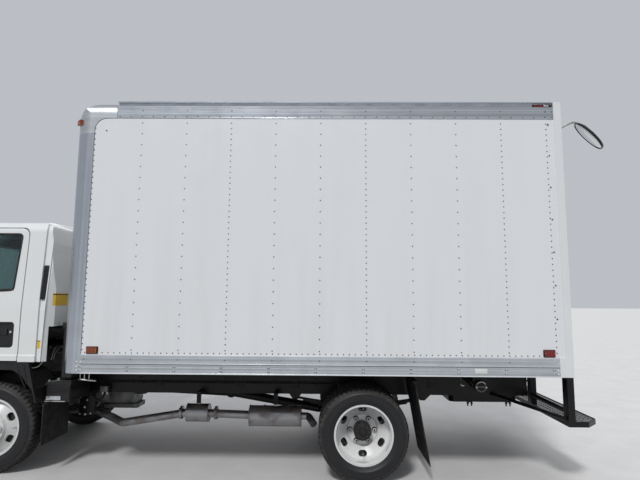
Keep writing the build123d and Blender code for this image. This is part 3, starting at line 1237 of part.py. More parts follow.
def wheel_pieces():
    single_rim, single_tyre, rims, tyres = front_rim(), tyre(), twin_rims(), twin_tyres()
    pieces = {"left_knuckle": steering_knuckle(-1), "right_knuckle": steering_knuckle(1), "tie_rod": tie_rod()}
    rear_y = REAR_OUTER_Y - TWIN_SPACING / 2
    for side, sign in (("left", -1), ("right", 1)):
        pieces[f"front_{side}_tyre"] = place_wheel(single_tyre, 0, sign * FRONT_TRACK_Y)
        pieces[f"front_{side}_rim"] = place_wheel(single_rim, 0, sign * FRONT_TRACK_Y)
        pieces[f"rear_{side}_tyres"] = place_wheel(tyres, WHEELBASE, sign * rear_y)
        pieces[f"rear_{side}_rims"] = place_wheel(rims, WHEELBASE, sign * rear_y)
    return pieces


os.makedirs("parts", exist_ok=True)
for pieces in (chassis_pieces(), box_pieces(), cab_pieces(), wheel_pieces()):
    for name, shape in pieces.items():
        save(name, shape)
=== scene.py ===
import math

import bpy
from mathutils import Matrix, Vector


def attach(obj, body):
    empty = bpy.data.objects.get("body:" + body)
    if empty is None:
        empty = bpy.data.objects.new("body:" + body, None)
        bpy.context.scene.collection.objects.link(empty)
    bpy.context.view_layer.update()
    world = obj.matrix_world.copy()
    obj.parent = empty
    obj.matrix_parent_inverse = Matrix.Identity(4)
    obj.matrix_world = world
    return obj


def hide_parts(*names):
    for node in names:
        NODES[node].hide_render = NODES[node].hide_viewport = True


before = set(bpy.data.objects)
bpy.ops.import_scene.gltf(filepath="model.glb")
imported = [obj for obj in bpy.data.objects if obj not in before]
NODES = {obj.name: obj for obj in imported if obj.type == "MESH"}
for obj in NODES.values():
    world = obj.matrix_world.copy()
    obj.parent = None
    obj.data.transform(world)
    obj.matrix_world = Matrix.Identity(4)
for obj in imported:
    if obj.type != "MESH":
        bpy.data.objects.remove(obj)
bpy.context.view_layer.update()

# Sizes that the pieces share with the CAD. Places count from the front axle on the ground, in millimetres.
# The CAD moves them by AXLE_X, in metres, so that the truck's middle is at the origin.

AXLE_X = -2.164
AXLE_Z = 400
REAR_X = 3365
FRONT_Y = 850
REAR_Y = 847.5
FRAME_Y = 425
CAB_Z = 805
SKIN_Y = 1214.2
SIDE_Y = 1219.2
FIRST_POST_X = 941.7
POST_PITCH = 406.4
POSTS = [FIRST_POST_X + n * POST_PITCH for n in range(11)]
RAIL_END_X = 5026
RAIL_TOP_Z = 1094
TOP_RAIL_Z = 3209
ROOF_Z = 3370
CAP_X = 914
CAP_R = 109
CAP_Z = 3208
CAP_END_X = 1113
FRONT_WALL_X = 723


# Node helpers for the materials

def new_material(name, colour, roughness, metallic=0.0):
    """A material with its plain values set on the shader itself."""
    mat = bpy.data.materials.new(name)
    mat.use_nodes = True
    shader = mat.node_tree.nodes["Principled BSDF"]
    shader.inputs["Base Color"].default_value = (*colour, 1)
    shader.inputs["Roughness"].default_value = roughness
    shader.inputs["Metallic"].default_value = metallic
    return mat, mat.node_tree, shader


def node(tree, kind, links=None, **values):
    """A node with its settings, its plain inputs and its links, each named as in Blender."""
    made = tree.nodes.new(kind)
    for key, value in values.items():
        if hasattr(made, key):
            setattr(made, key, value)
        else:
            made.inputs[key.replace("_", " ").title()].default_value = value
    for key, source in (links or {}).items():
        tree.links.new(source, made.inputs[key])
    return made


def object_place(tree, scale=(1, 1, 1)):
    """Object coordinates, stretched for a pattern."""
    coords = node(tree, "ShaderNodeTexCoord")
    mapping = node(tree, "ShaderNodeMapping", {"Vector": coords.outputs["Object"]})
    mapping.inputs["Scale"].default_value = scale
    return mapping.outputs["Vector"]


def noise(tree, scale, detail=4.0, stretch=(1, 1, 1), rough=0.55):
    """Grey noise with features of about one over scale metres."""
    made = node(tree, "ShaderNodeTexNoise", {"Vector": object_place(tree, stretch)})
    made.inputs["Scale"].default_value = scale
    made.inputs["Detail"].default_value = detail
    made.inputs["Roughness"].default_value = rough
    return made.outputs["Fac"]


def patterned(shader, **patterns):
    """Links patterns to the shader's inputs, each named as in Blender."""
    for key, pattern in patterns.items():
        shader.id_data.links.new(pattern, shader.inputs[key.replace("_", " ").title()])


def span(tree, value, low, high, out_low=0.0, out_high=1.0):
    """Maps low..high of a pattern to another range, held at its ends."""
    made = node(tree, "ShaderNodeMapRange", {"Value": value})
    for key, number in zip(("From Min", "From Max", "To Min", "To Max"), (low, high, out_low, out_high)):
        made.inputs[key].default_value = number
    return made.outputs["Result"]


def blend(tree, factor, first, second):
    """A colour between two, each a colour or a link."""
    made = node(tree, "ShaderNodeMix", data_type="RGBA")
    tree.links.new(factor, made.inputs["Factor"])
    for socket, colour in ((made.inputs[6], first), (made.inputs[7], second)):
        if isinstance(colour, tuple):
            socket.default_value = (*colour, 1)
        else:
            tree.links.new(colour, socket)
    return made.outputs[2]


def times(tree, first, second, operation="MULTIPLY"):
    """Joins two grey patterns, or a pattern and a number."""
    made = node(tree, "ShaderNodeMath", operation=operation)
    for socket, value in zip(made.inputs, (first, second)):
        if isinstance(value, (int, float)):
            socket.default_value = value
        else:
            tree.links.new(value, socket)
    return made.outputs[0]


def axis_value(tree, axis):
    """One of the surface's own coordinates, in metres."""
    coords = node(tree, "ShaderNodeTexCoord")
    parts = node(tree, "ShaderNodeSeparateXYZ", {"Vector": coords.outputs["Object"]})
    return parts.outputs[axis]


def uneven_shine(tree, shader, scale, detail, low, high):
    """Roughness that wanders between two values."""
    patterned(shader, roughness=span(tree, noise(tree, scale, detail), 0.3, 0.7, low, high))


def facing_up(tree):
    """1 on surfaces that look up, 0 on walls and undersides."""
    geometry = node(tree, "ShaderNodeNewGeometry")
    parts = node(tree, "ShaderNodeSeparateXYZ", {"Vector": geometry.outputs["Normal"]})
    return span(tree, parts.outputs["Z"], 0.2, 0.95)


def relief(tree, shader, height, strength, depth, under=None):
    """Bump of that depth in metres, on top of an earlier one."""
    made = node(tree, "ShaderNodeBump", {"Height": height})
    made.inputs["Strength"].default_value = strength
    made.inputs["Distance"].default_value = depth
    if under:
        tree.links.new(under, made.inputs["Normal"])
    patterned(shader, normal=made.outputs["Normal"])
    return made.outputs["Normal"]


def dusty(tree, shader, colour, dust, amount=0.5, ground=0.9):
    """Road dust that lies on upward faces and thickens towards the ground."""
    patches = span(tree, noise(tree, 9, 6), 0.35, 0.75)
    low = span(tree, axis_value(tree, "Z"), 0.0, ground, 0.75, 0.12)
    cover = times(tree, times(tree, facing_up(tree), 0.6), low, "ADD")
    cover = times(tree, times(tree, cover, patches), amount)
    mixed = blend(tree, cover, colour, dust)
    patterned(shader, base_color=mixed)
    return cover


# Materials

ROAD_DUST = (0.10, 0.09, 0.08)


def painted_sheet():
    """Smooth white sheet of the box, slightly pillowed between its posts."""
    colour = (0.80, 0.81, 0.82)
    mat, tree, shader = new_material("box_white_sheet", colour, 0.34)
    streaks = span(tree, noise(tree, 1.0, 5, (7, 7, 0.5)), 0.45, 0.8)
    grime = times(tree, streaks, span(tree, axis_value(tree, "Z"), 0.95, 2.2, 0.34, 0.1))
    patterned(shader, base_color=blend(tree, grime, colour, (0.62, 0.61, 0.59)))
    wave = node(tree, "ShaderNodeMath", operation="SINE")
    from_post = times(tree, axis_value(tree, "X"), AXLE_X + FIRST_POST_X / 1000, "SUBTRACT")
    along = times(tree, from_post, math.pi * 1000 / POST_PITCH)
    tree.links.new(along, wave.inputs[0])
    pillow = times(tree, wave.outputs[0], wave.outputs[0])
    under = relief(tree, shader, pillow, 0.5, 0.0015)
    waviness = noise(tree, 1.6, 2)
    relief(tree, shader, waviness, 0.35, 0.004, under)
    uneven_shine(tree, shader, 5, 5, 0.28, 0.42)
    return mat


# The colours given to the aluminium are darkened and tinted blue-grey to stand for a reflected sky: painted
# reflection.
def mill_aluminium(name, stretch, colour=(0.40, 0.42, 0.45), roughness=(0.2, 0.38), contrast=1.55):
    """Extruded aluminium with paler drawing streaks, scuffs and a slightly uneven shine."""
    mat, tree, shader = new_material(name, colour, 0.35, 1.0)
    lines = noise(tree, 1.0, 3, stretch, 0.7)
    streaks = noise(tree, 1.0, 3, tuple(a * (0.25 if a > 50 else 0.08) for a in stretch))
    cloud = noise(tree, 6, 5)
    pale = tuple(contrast * c for c in colour)
    streaked = blend(tree, span(tree, streaks, 0.38, 0.64), colour, pale)
    dull = span(tree, cloud, 0.4, 0.8, 0, 0.4)
    patterned(shader, base_color=blend(tree, dull, streaked, tuple(0.75 * c for c in colour)))
    mixed = times(tree, times(tree, lines, 0.6), times(tree, cloud, 0.4), "ADD")
    patterned(shader, roughness=span(tree, mixed, 0.35, 0.65, *roughness))
    relief(tree, shader, lines, 0.25, 0.0004)
    return mat


def gloss_paint(name, colour, dust_amount=0.22, roughness=0.3, peel=0.12):
    """Clear-coated vehicle paint with slight orange peel and a little dust."""
    mat, tree, shader = new_material(name, colour, roughness)
    shader.inputs["Coat Weight"].default_value = 1.0
    shader.inputs["Coat Roughness"].default_value = 0.05
    dusty(tree, shader, colour, (0.45, 0.42, 0.38), dust_amount, 1.6)
    under = relief(tree, shader, noise(tree, 260, 2), peel, 0.0003)
    relief(tree, shader, noise(tree, 2.2, 2), 0.2, 0.002, under)
    return mat


def chassis_paint(name, colour=(0.007, 0.007, 0.008), dust=0.22):
    """Satin black paint with flat road dust, rougher where it is dirty."""
    mat, tree, shader = new_material(name, colour, 0.45)
    shader.inputs["Specular IOR Level"].default_value = 0.24
    cover = dusty(tree, shader, colour, ROAD_DUST, dust)
    patterned(shader, roughness=span(tree, cover, 0.0, 0.45, 0.3, 0.6))
    relief(tree, shader, noise(tree, 420, 3), 0.2, 0.0005)
    return mat


def grained_plastic(name, colour, roughness=0.55, dust=0.35):
    """Moulded plastic with a leather-like grain, paler where dust settles."""
    mat, tree, shader = new_material(name, colour, roughness)
    shader.inputs["Specular IOR Level"].default_value = 0.35
    dusty(tree, shader, colour, ROAD_DUST, dust, 1.4)
    cells = node(tree, "ShaderNodeTexVoronoi", {"Vector": object_place(tree)}, feature="SMOOTH_F1")
    cells.inputs["Scale"].default_value = 650
    uneven_shine(tree, shader, 40, 4, roughness - 0.08, roughness + 0.1)
    relief(tree, shader, cells.outputs["Distance"], 0.3, 0.0006)
    return mat


def casting(name, colour, roughness=0.6, metallic=0.6):
    """Rough cast metal with a sandy skin and oily patches."""
    mat, tree, shader = new_material(name, colour, roughness, metallic)
    stain = span(tree, noise(tree, 12, 6), 0.42, 0.7)
    dark = tuple(c * 0.45 for c in colour)
    patterned(shader, base_color=blend(tree, stain, colour, dark))
    uneven_shine(tree, shader, 20, 5, roughness - 0.15, roughness + 0.15)
    relief(tree, shader, noise(tree, 300, 4), 0.5, 0.0012)
    return mat


def rusting_steel():
    """Aluminised exhaust steel: dull grey with brown heat stains and rust at the seams."""
    mat, tree, shader = new_material("exhaust_steel", (0.33, 0.31, 0.29), 0.5, 0.85)
    patches = span(tree, noise(tree, 7, 7), 0.47, 0.66)
    specks = span(tree, noise(tree, 90, 5), 0.52, 0.7)
    rust = times(tree, patches, span(tree, specks, 0, 1, 0.45, 1.0))
    stained = blend(tree, rust, (0.33, 0.33, 0.34), (0.13, 0.06, 0.03))
    # Near black above 0.552 m, just over the tops of the cans: the hangers and anything higher.
    above_cans = span(tree, axis_value(tree, "Z"), 0.552, 0.562)
    patterned(shader, base_color=blend(tree, above_cans, stained, (0.012, 0.012, 0.012)))
    patterned(shader, roughness=span(tree, rust, 0, 1, 0.3, 0.8))
    patterned(shader, metallic=span(tree, rust, 0, 1, 0.9, 0.15))
    relief(tree, shader, specks, 0.3, 0.0006)
    return mat


def rubber(name, colour, dust):
    """Dull rubber with dust rubbed into it."""
    mat, tree, shader = new_material(name, colour, 0.75)
    patches = span(tree, noise(tree, 14, 7), 0.38, 0.72, 0.0, dust)
    patterned(shader, base_color=blend(tree, patches, colour, (0.115, 0.105, 0.095)))
    uneven_shine(tree, shader, 30, 4, 0.62, 0.88)
    shader.inputs["Specular IOR Level"].default_value = 0.35
    relief(tree, shader, noise(tree, 180, 3), 0.35, 0.0006)
    return mat


def tyre_rubber():
    """Black tyre rubber: fine rings moulded on the sidewall, dust on the shoulder and in the tread."""
    colour = (0.010, 0.010, 0.011)
    mat, tree, shader = new_material("tyre_rubber", colour, 0.6)
    along = axis_value(tree, "X")
    ahead, behind = (times(tree, along, AXLE_X + x / 1000, "SUBTRACT") for x in (0, REAR_X))
    squares = times(tree, times(tree, ahead, ahead), times(tree, behind, behind), "MINIMUM")
    height = times(tree, axis_value(tree, "Z"), AXLE_Z / 1000, "SUBTRACT")
    radius = times(tree, times(tree, squares, times(tree, height, height), "ADD"), 0.5, "POWER")
    shoulder = times(tree, span(tree, radius, 0.358, 0.374), span(tree, radius, 0.380, 0.394, 1.0, 0.35))
    bead = times(tree, span(tree, radius, 0.262, 0.272, 0.7, 0.0), span(tree, radius, 0.366, 0.38),
                 "MAXIMUM")
    patches = span(tree, noise(tree, 34, 6), 0.3, 0.72)
    cover = times(tree, times(tree, times(tree, shoulder, bead, "MAXIMUM"), patches), 0.75)
    patterned(shader, base_color=blend(tree, cover, colour, (0.085, 0.08, 0.072)))
    patterned(shader, roughness=span(tree, cover, 0.0, 0.6, 0.5, 0.85))
    shader.inputs["Specular IOR Level"].default_value = 0.4
    rings = node(tree, "ShaderNodeMath", operation="SINE")
    tree.links.new(times(tree, radius, 1100), rings.inputs[0])
    under = relief(tree, shader, rings.outputs[0], 0.12, 0.0004)
    relief(tree, shader, noise(tree, 260, 3), 0.3, 0.0005, under)
    return mat


def tinted_glass():
    """Safety glass with a green tint and a faint film of dust."""
    mat, tree, shader = new_material("tinted_glass", (0.30, 0.42, 0.42), 0.02)
    shader.inputs["Transmission Weight"].default_value = 1.0
    shader.inputs["IOR"].default_value = 1.45
    patterned(shader, roughness=span(tree, noise(tree, 8, 5), 0.4, 0.8, 0.01, 0.09))
    return mat


def lens(name, colour, transmission=0.55):
    """A moulded lamp lens with fine vertical flutes."""
    mat, tree, shader = new_material(name, colour, 0.12)
    shader.inputs["Transmission Weight"].default_value = transmission
    shader.inputs["IOR"].default_value = 1.49
    flutes = node(tree, "ShaderNodeTexWave", {"Vector": object_place(tree)}, bands_direction="X")
    flutes.inputs["Scale"].default_value = 75
    relief(tree, shader, flutes.outputs["Fac"], 0.6, 0.0015)
    uneven_shine(tree, shader, 35, 3, 0.08, 0.22)
    return mat


def plank_floor():
    """Laminated hardwood deck: narrow staves along the truck, worn and oiled."""
    mat, tree, shader = new_material("floor_wood", (0.36, 0.22, 0.12), 0.5)
    staves = node(tree, "ShaderNodeTexBrick", {"Vector": object_place(tree)})
    sizes = {"Scale": 1.0, "Brick Width": 0.9, "Row Height": 0.034, "Mortar Size": 0.0008}
    for key, value in sizes.items():
        staves.inputs[key].default_value = value
    staves.inputs["Color1"].default_value = (0.42, 0.26, 0.14, 1)
    staves.inputs["Color2"].default_value = (0.27, 0.155, 0.08, 1)
    staves.inputs["Mortar"].default_value = (0.07, 0.045, 0.03, 1)
    grain = span(tree, noise(tree, 1.0, 6, (5, 120, 120)), 0.35, 0.75)
    dark = blend(tree, times(tree, grain, 0.5), staves.outputs["Color"], (0.13, 0.075, 0.04))
    patterned(shader, base_color=dark)
    uneven_shine(tree, shader, 12, 4, 0.4, 0.65)
    relief(tree, shader, grain, 0.25, 0.0006)
    return mat


def woven_cloth(name, colour):
    """Flat seat cloth in a basket weave of 1.6 mm threads, with paler flecks."""
    weave_scale = 0.314 / 0.0016
    mat, tree, shader = new_material(name, colour, 0.9)
    shader.inputs["Sheen Weight"].default_value = 0.35
    heights = []
    for direction in ("X", "Z"):
        wave = node(tree, "ShaderNodeTexWave", {"Vector": object_place(tree)}, bands_direction=direction)
        wave.inputs["Scale"].default_value = weave_scale
        wave.inputs["Distortion"].default_value = 1.2
        heights.append(wave.outputs["Fac"])
    across = node(tree, "ShaderNodeTexWave", {"Vector": object_place(tree)}, bands_direction="Y")
    across.inputs["Scale"].default_value = weave_scale
    weave = times(tree, times(tree, heights[0], heights[1], "ADD"), across.outputs["Fac"])
    flecks = span(tree, noise(tree, 420, 2), 0.5, 0.72)
    pale = tuple(min(1, c * 2.1 + 0.03) for c in colour)
    patterned(shader, base_color=blend(tree, times(tree, flecks, 0.6), colour, pale))
    relief(tree, shader, weave, 0.5, 0.0008)
    return mat


def plain_metal(name, colour, roughness, metallic=1.0, wear=18):
    """Plated fasteners and fittings, with a little tarnish."""
    mat, tree, shader = new_material(name, colour, roughness, metallic)
    cloud = span(tree, noise(tree, wear, 5), 0.35, 0.75)
    patterned(shader, base_color=blend(tree, cloud, colour, tuple(c * 0.62 for c in colour)))
    patterned(shader, roughness=span(tree, cloud, 0, 1, roughness - 0.06, roughness + 0.14))
    return mat


def painted_label(name, colour):
    """A plain printed label, a little faded and scuffed."""
    mat, tree, shader = new_material(name, colour, 0.4)
    faded = tuple(0.75 * c + 0.12 for c in colour)
    scuffs = span(tree, noise(tree, 30, 6), 0.45, 0.8, 0, 0.6)
    patterned(shader, base_color=blend(tree, scuffs, colour, faded))
    relief(tree, shader, noise(tree, 60, 3), 0.15, 0.0004)
    return mat


MATERIALS = {
    "box_sheet": painted_sheet(),
    # The aluminium colours below are darkened and blue-grey: painted reflection of a sky.
    "rail_metal": mill_aluminium("aluminium_along", (2.5, 260, 260)),
    "post_metal": mill_aluminium("aluminium_upright", (260, 260, 2.5), (0.43, 0.46, 0.50), (0.24, 0.36),
                                 1.2),
    "cap_metal": mill_aluminium("aluminium_cap", (5, 5, 140), (0.5, 0.52, 0.54), (0.28, 0.42), 1.15),
    # A paler copy of the rail aluminium for the lit lips and ribs: painted highlights.
    "rail_painted_highlight": mill_aluminium("aluminium_pale", (2.5, 260, 260), (0.66, 0.68, 0.70), (0.2, 0.34)),
    "zinc": plain_metal("zinc_plate", (0.62, 0.62, 0.6), 0.34),
    # Near white and barely metallic, to stand for sun glinting on the bolt heads: painted highlight.
    "bright_bolt": plain_metal("bright_bolt", (0.88, 0.88, 0.86), 0.5, 0.25),
    # Rivet heads darkened: partly their own dark rims, partly painted shade round each head.
    "rivet": plain_metal("rivet_head", (0.20, 0.20, 0.205), 0.42, 0.85),
    "cab_paint": gloss_paint("cab_white", (0.80, 0.81, 0.80)),
    "door_white": gloss_paint("rear_door_white", (0.78, 0.79, 0.79), 0.3, 0.38),
    "wheel_paint": gloss_paint("wheel_white", (0.70, 0.70, 0.69), 0.3, 0.24, 0.2),
    "hub_black": chassis_paint("hub_black", (0.018, 0.018, 0.019), 0.3),
    "chassis": chassis_paint("chassis_black"),
    "spring": chassis_paint("spring_black", (0.016, 0.015, 0.014), 0.45),
    "plastic": grained_plastic("black_plastic", (0.012, 0.012, 0.013), 0.5, 0.22),
    "cab_plastic": grained_plastic("grey_plastic", (0.12, 0.12, 0.125), 0.6, 0.1),
    "gloss_plastic": grained_plastic("gloss_black_plastic", (0.012, 0.012, 0.013), 0.3, 0.1),
    "clear_plastic": grained_plastic("milky_plastic", (0.55, 0.54, 0.48), 0.4, 0.3),
    "vinyl": grained_plastic("seat_vinyl", (0.045, 0.046, 0.05), 0.5, 0.05),
    "iron": casting("cast_iron", (0.13, 0.125, 0.12)),
    "drum_iron": casting("drum_iron", (0.07, 0.062, 0.055), 0.7, 0.5),
    "alloy": casting("cast_aluminium", (0.21, 0.21, 0.205), 0.5, 0.8),
    "exhaust": rusting_steel(),
    "rubber": rubber("flap_rubber", (0.012, 0.012, 0.013), 0.3),
    # Real sealant on seams and joints, also used for the painted shadow under the rail bolts and the painted
    # shade in the rail groove.
    "sealant": rubber("sealant_and_painted_shade", (0.16, 0.165, 0.17), 0.2),
    "tyre": tyre_rubber(),
    "amber": lens("amber_lens", (0.5, 0.1, 0.006)),
    "red": lens("red_lens", (0.42, 0.012, 0.01)),
    "clear": lens("clear_lens", (0.92, 0.94, 0.95), 0.9),
    "glass": tinted_glass(),
    "mirror": plain_metal("silvered_glass", (0.86, 0.88, 0.9), 0.07, 1.0, 3),
    "wood": plank_floor(),
    "cloth": woven_cloth("seat_cloth", (0.075, 0.078, 0.085)),
    "label_yellow": painted_label("label_yellow", (0.80, 0.50, 0.02)),
    "label_dark": painted_label("label_dark", (0.06, 0.03, 0.02)),
    "label_white": painted_label("label_white", (0.72, 0.73, 0.72)),
}

NODE_MATERIALS = {
    "box_sheet": "box_walls box_roof",
    "door_white": "rear_frame roll_up_door",
    "rail_metal": "box_side_rails",
    "post_metal": "box_corner_posts",
    "cap_metal": "box_front_header",
    "cab_paint": "cab_body left_door right_door",
    "chassis": "ladder_frame front_axle rear_axle driveshaft fuel_tank step_bumper box_long_sills"
               " box_cross_sills tie_rod",
    "spring": "leaf_springs",
    "plastic": "front_bumper battery_box air_intake backup_mirror grille cab_steps arch_liners side_mirrors"
               " steering_wheel cab_floor",
    "cab_plastic": "dashboard",
    "iron": "engine_block left_knuckle right_knuckle",
    "alloy": "radiator gearbox",
    "exhaust": "exhaust",
    "rubber": "mudflaps",
    "tyre": "front_left_tyre front_right_tyre rear_left_tyres rear_right_tyres",
    "wheel_paint": "front_left_rim front_right_rim rear_left_rims rear_right_rims",
    "amber": "amber_lights",
    "red": "red_lights",
    "clear": "headlights",
    "glass": "cab_windows left_door_glass right_door_glass",
    "wood": "box_floor",
    "cloth": "cab_seats",
}
for finish, names in NODE_MATERIALS.items():
    for name in names.split():
        part = NODES[name]
        part.data.materials.clear()
        part.data.materials.append(MATERIALS[finish])


# Modelling helpers. They take places in millimetres from the front axle and make meshes in metres.

def at(x, y, z):
    """A place in the shared frame, in metres."""
    return Vector((x / 1000 + AXLE_X, y / 1000, z / 1000))


def pick(*pieces):
    """Selects only these pieces, the first one active."""
    bpy.ops.object.select_all(action="DESELECT")
    for piece in pieces:
        piece.select_set(True)
    bpy.context.view_layer.objects.active = pieces[0]


def settled(piece):
    """Moves a piece's place, turn and scale into its mesh."""
    pick(piece)
    bpy.ops.object.transform_apply(location=True, rotation=True, scale=True)
    return piece


def settle(name, finish):
    """Names the piece just made, gives it its finish and moves its place into its mesh."""
    piece = settled(bpy.context.active_object)
    piece.name = name
    piece.data.name = name
    piece.data.materials.clear()
    piece.data.materials.append(MATERIALS[finish])
    return piece


def modify(piece, kind, **settings):
    """Adds a modifier and applies it."""
    pick(piece)
    modifier = piece.modifiers.new("shaping", kind)
    for key, value in settings.items():
        setattr(modifier, key, value)
    bpy.ops.object.modifier_apply(modifier=modifier.name)
    return piece


def round_edges(piece, width, segments=2):
    """Rounds the sharp edges by width millimetres."""
    modify(piece, "BEVEL", width=width / 1000, segments=segments, limit_method="ANGLE",
           angle_limit=math.radians(30))
    return smooth(piece)


def smooth(piece, angle=35):
    """Shades a piece smooth, apart from edges sharper than angle."""
    pick(piece)
    bpy.ops.object.shade_smooth_by_angle(angle=math.radians(angle))
    return piece


def slab(name, finish, x, y, z, round_by=0.0, segments=2):
    """A block between low and high places on each axis, with rounded edges."""
    low, high = at(x[0], y[0], z[0]), at(x[1], y[1], z[1])
    bpy.ops.object.select_all(action="DESELECT")
    bpy.ops.mesh.primitive_cube_add(size=1, location=(low + high) / 2, scale=[abs(a) for a in high - low])
    piece = settle(name, finish)
    return round_edges(piece, round_by, segments) if round_by else piece


def bar(name, finish, start, end, radius, sides=20, round_by=0.0):
    """A round or many-sided bar between two places."""
    low, high = at(*start), at(*end)
    along = high - low
    turn = along.to_track_quat("Z", "Y").to_euler()
    bpy.ops.object.select_all(action="DESELECT")
    bpy.ops.mesh.primitive_cylinder_add(vertices=sides, radius=radius / 1000, depth=along.length,
                                        location=(low + high) / 2, rotation=turn)
    piece = settle(name, finish)
    return round_edges(piece, round_by) if round_by else smooth(piece)


def first_point(place):
    """Opens a new mesh in edit mode with a single point, from which an outline is drawn."""
    bpy.ops.object.select_all(action="DESELECT")
    bpy.ops.mesh.primitive_plane_add(size=0.01, location=(0, 0, 0))
    bpy.ops.object.mode_set(mode="EDIT")
    bpy.ops.mesh.select_mode(type="VERT")
    bpy.ops.mesh.select_all(action="SELECT")
    bpy.ops.mesh.merge(type="CENTER")
    bpy.ops.transform.translate(value=place)


def close_mesh():
    """Turns all faces of the mesh in edit mode outwards, and leaves edit mode."""
    bpy.ops.mesh.select_all(action="SELECT")
    bpy.ops.mesh.normals_make_consistent(inside=False)
    bpy.ops.object.mode_set(mode="OBJECT")


def draw_outline(places, closed=True):
    """Draws points one after another by extruding the last one."""
    first_point(places[0])
    for before, after in zip(places, places[1:]):
        bpy.ops.mesh.extrude_region_move(TRANSFORM_OT_translate={"value": after - before})
    bpy.ops.mesh.select_all(action="SELECT")
    if closed:
        bpy.ops.mesh.edge_face_add()


def plate(name, finish, places, depth, round_by=0.0, segments=2):
    """A flat plate from its outline, pushed out by depth, a vector in millimetres."""
    draw_outline([at(*p) for p in places])
    bpy.ops.mesh.extrude_region_move(TRANSFORM_OT_translate={"value": Vector(depth) / 1000})
    close_mesh()
    piece = settle(name, finish)
    return round_edges(piece, round_by, segments) if round_by else piece


def spun(name, finish, profile, centre, axis="Y", steps=48):
    """A ring or solid turned about an axis through centre from (place along it, radius) points."""
    along, out = {"X": ((1, 0, 0), (0, 0, 1)), "Y": ((0, 1, 0), (0, 0, 1)),
                  "Z": ((0, 0, 1), (1, 0, 0))}[axis]
    middle = at(*centre)
    places = [middle + Vector(along) * a / 1000 + Vector(out) * r / 1000 for a, r in profile]
    draw_outline(places, closed=False)
    bpy.ops.mesh.spin(steps=steps, angle=2 * math.pi, center=middle, axis=along)
    bpy.ops.mesh.select_all(action="SELECT")
    bpy.ops.mesh.remove_doubles(threshold=0.00002)
    close_mesh()
    return smooth(settle(name, finish), 40)


def tube(name, finish, places, radius):
    """A round tube on a smooth line near its control points."""
    bpy.ops.object.select_all(action="DESELECT")
    bpy.ops.curve.primitive_nurbs_path_add(location=(0, 0, 0))
    path = bpy.context.active_object
    curve = path.data
    curve.splines.clear()
    line = curve.splines.new("NURBS")
    line.points.add(len(places) - 1)
    for point, place in zip(line.points, places):
        point.co = (*at(*place), 1)
    line.order_u = 3
    line.use_endpoint_u = True
    curve.resolution_u = 6
    curve.bevel_depth = radius / 1000
    curve.bevel_resolution = 3
    curve.use_fill_caps = True
    bpy.ops.object.convert(target="MESH")
    return smooth(settle(name, finish), 50)


def row(piece, count, step):
    """Repeats a piece along a line, each copy moved by step in millimetres."""
    return modify(piece, "ARRAY", count=count, use_relative_offset=False, use_constant_offset=True,
                  constant_offset_displace=Vector(step) / 1000)


def joined(name, *pieces):
    """Several meshes as one piece."""
    pick(*pieces)
    bpy.ops.object.join()
    piece = bpy.context.active_object
    piece.name = name
    piece.data.name = name
    return piece


def duplicate(piece):
    """A copy of a piece with its own mesh."""
    pick(piece)
    bpy.ops.object.duplicate()
    return bpy.context.active_object


def copied(piece, moves):
    """Joins a copy of a piece at each move, in millimetres, to the piece itself."""
    made = [piece]
    for move in moves:
        made.append(duplicate(piece))
        made[-1].location = Vector(move) / 1000
    return joined(piece.name, *made)


def ringed(piece, count, centre, axis="Y", first=0.0):
    """Repeats a piece evenly round an axis through centre, starting first degrees on."""
    middle = Matrix.Translation(at(*centre))
    made = []
    for n in range(count):
        twin = duplicate(piece)
        turn = Matrix.Rotation(math.radians(first) + 2 * math.pi * n / count, 4, axis)
        twin.matrix_world = middle @ turn @ middle.inverted()
        made.append(twin)
    name = piece.name
    bpy.data.objects.remove(piece)
    return settled(joined(name, *made))


def turned(piece, centre, degrees, axis):
    """Turns a piece about an axis through centre."""
    middle = Matrix.Translation(at(*centre))
    piece.matrix_world = middle @ Matrix.Rotation(math.radians(degrees), 4, axis) @ middle.inverted()
    return settled(piece)


def other_side(piece, name):
    """The right-hand twin of a left-hand piece."""
    twin = duplicate(piece)
    twin.scale.y = -1
    settled(twin)
    bpy.ops.object.mode_set(mode="EDIT")
    close_mesh()
    twin.name = name
    twin.data.name = name
    return twin


def both(piece):
    """Joins a left-hand piece and its right-hand twin."""
    return joined(piece.name, piece, other_side(piece, "twin"))


def push_faces(piece, test, inset, push):
    """Insets the faces that pass the test on their centre and normal, and pushes them along their normal."""
    pick(piece)
    bpy.ops.object.mode_set(mode="EDIT")
    bpy.ops.mesh.select_mode(type="FACE")
    bpy.ops.mesh.select_all(action="DESELECT")
    bpy.ops.object.mode_set(mode="OBJECT")
    for face in piece.data.polygons:
        face.select = test(face.center, face.normal)
    bpy.ops.object.mode_set(mode="EDIT")
    if inset:
        bpy.ops.mesh.inset(thickness=inset / 1000, depth=push / 1000)
    else:
        bpy.ops.mesh.extrude_region_shrink_fatten(TRANSFORM_OT_shrink_fatten={"value": push / 1000})
    bpy.ops.object.mode_set(mode="OBJECT")
    return piece


def inset(corners, by):
    """Corners of an outline moved inwards by a distance, whichever way round it is drawn."""
    area = sum(a[0] * b[1] - b[0] * a[1] for a, b in zip(corners, corners[1:] + corners[:1]))
    moved = []
    for n, here in enumerate(corners):
        before, after = Vector(corners[n - 1]), Vector(corners[(n + 1) % len(corners)])
        into, out = (Vector(here) - before).normalized(), (after - Vector(here)).normalized()
        across = Vector((-into.y - out.y, into.x + out.x)) * math.copysign(by, area)
        moved.append(tuple(Vector(here) + across / (1 + into.dot(out))))
    return moved


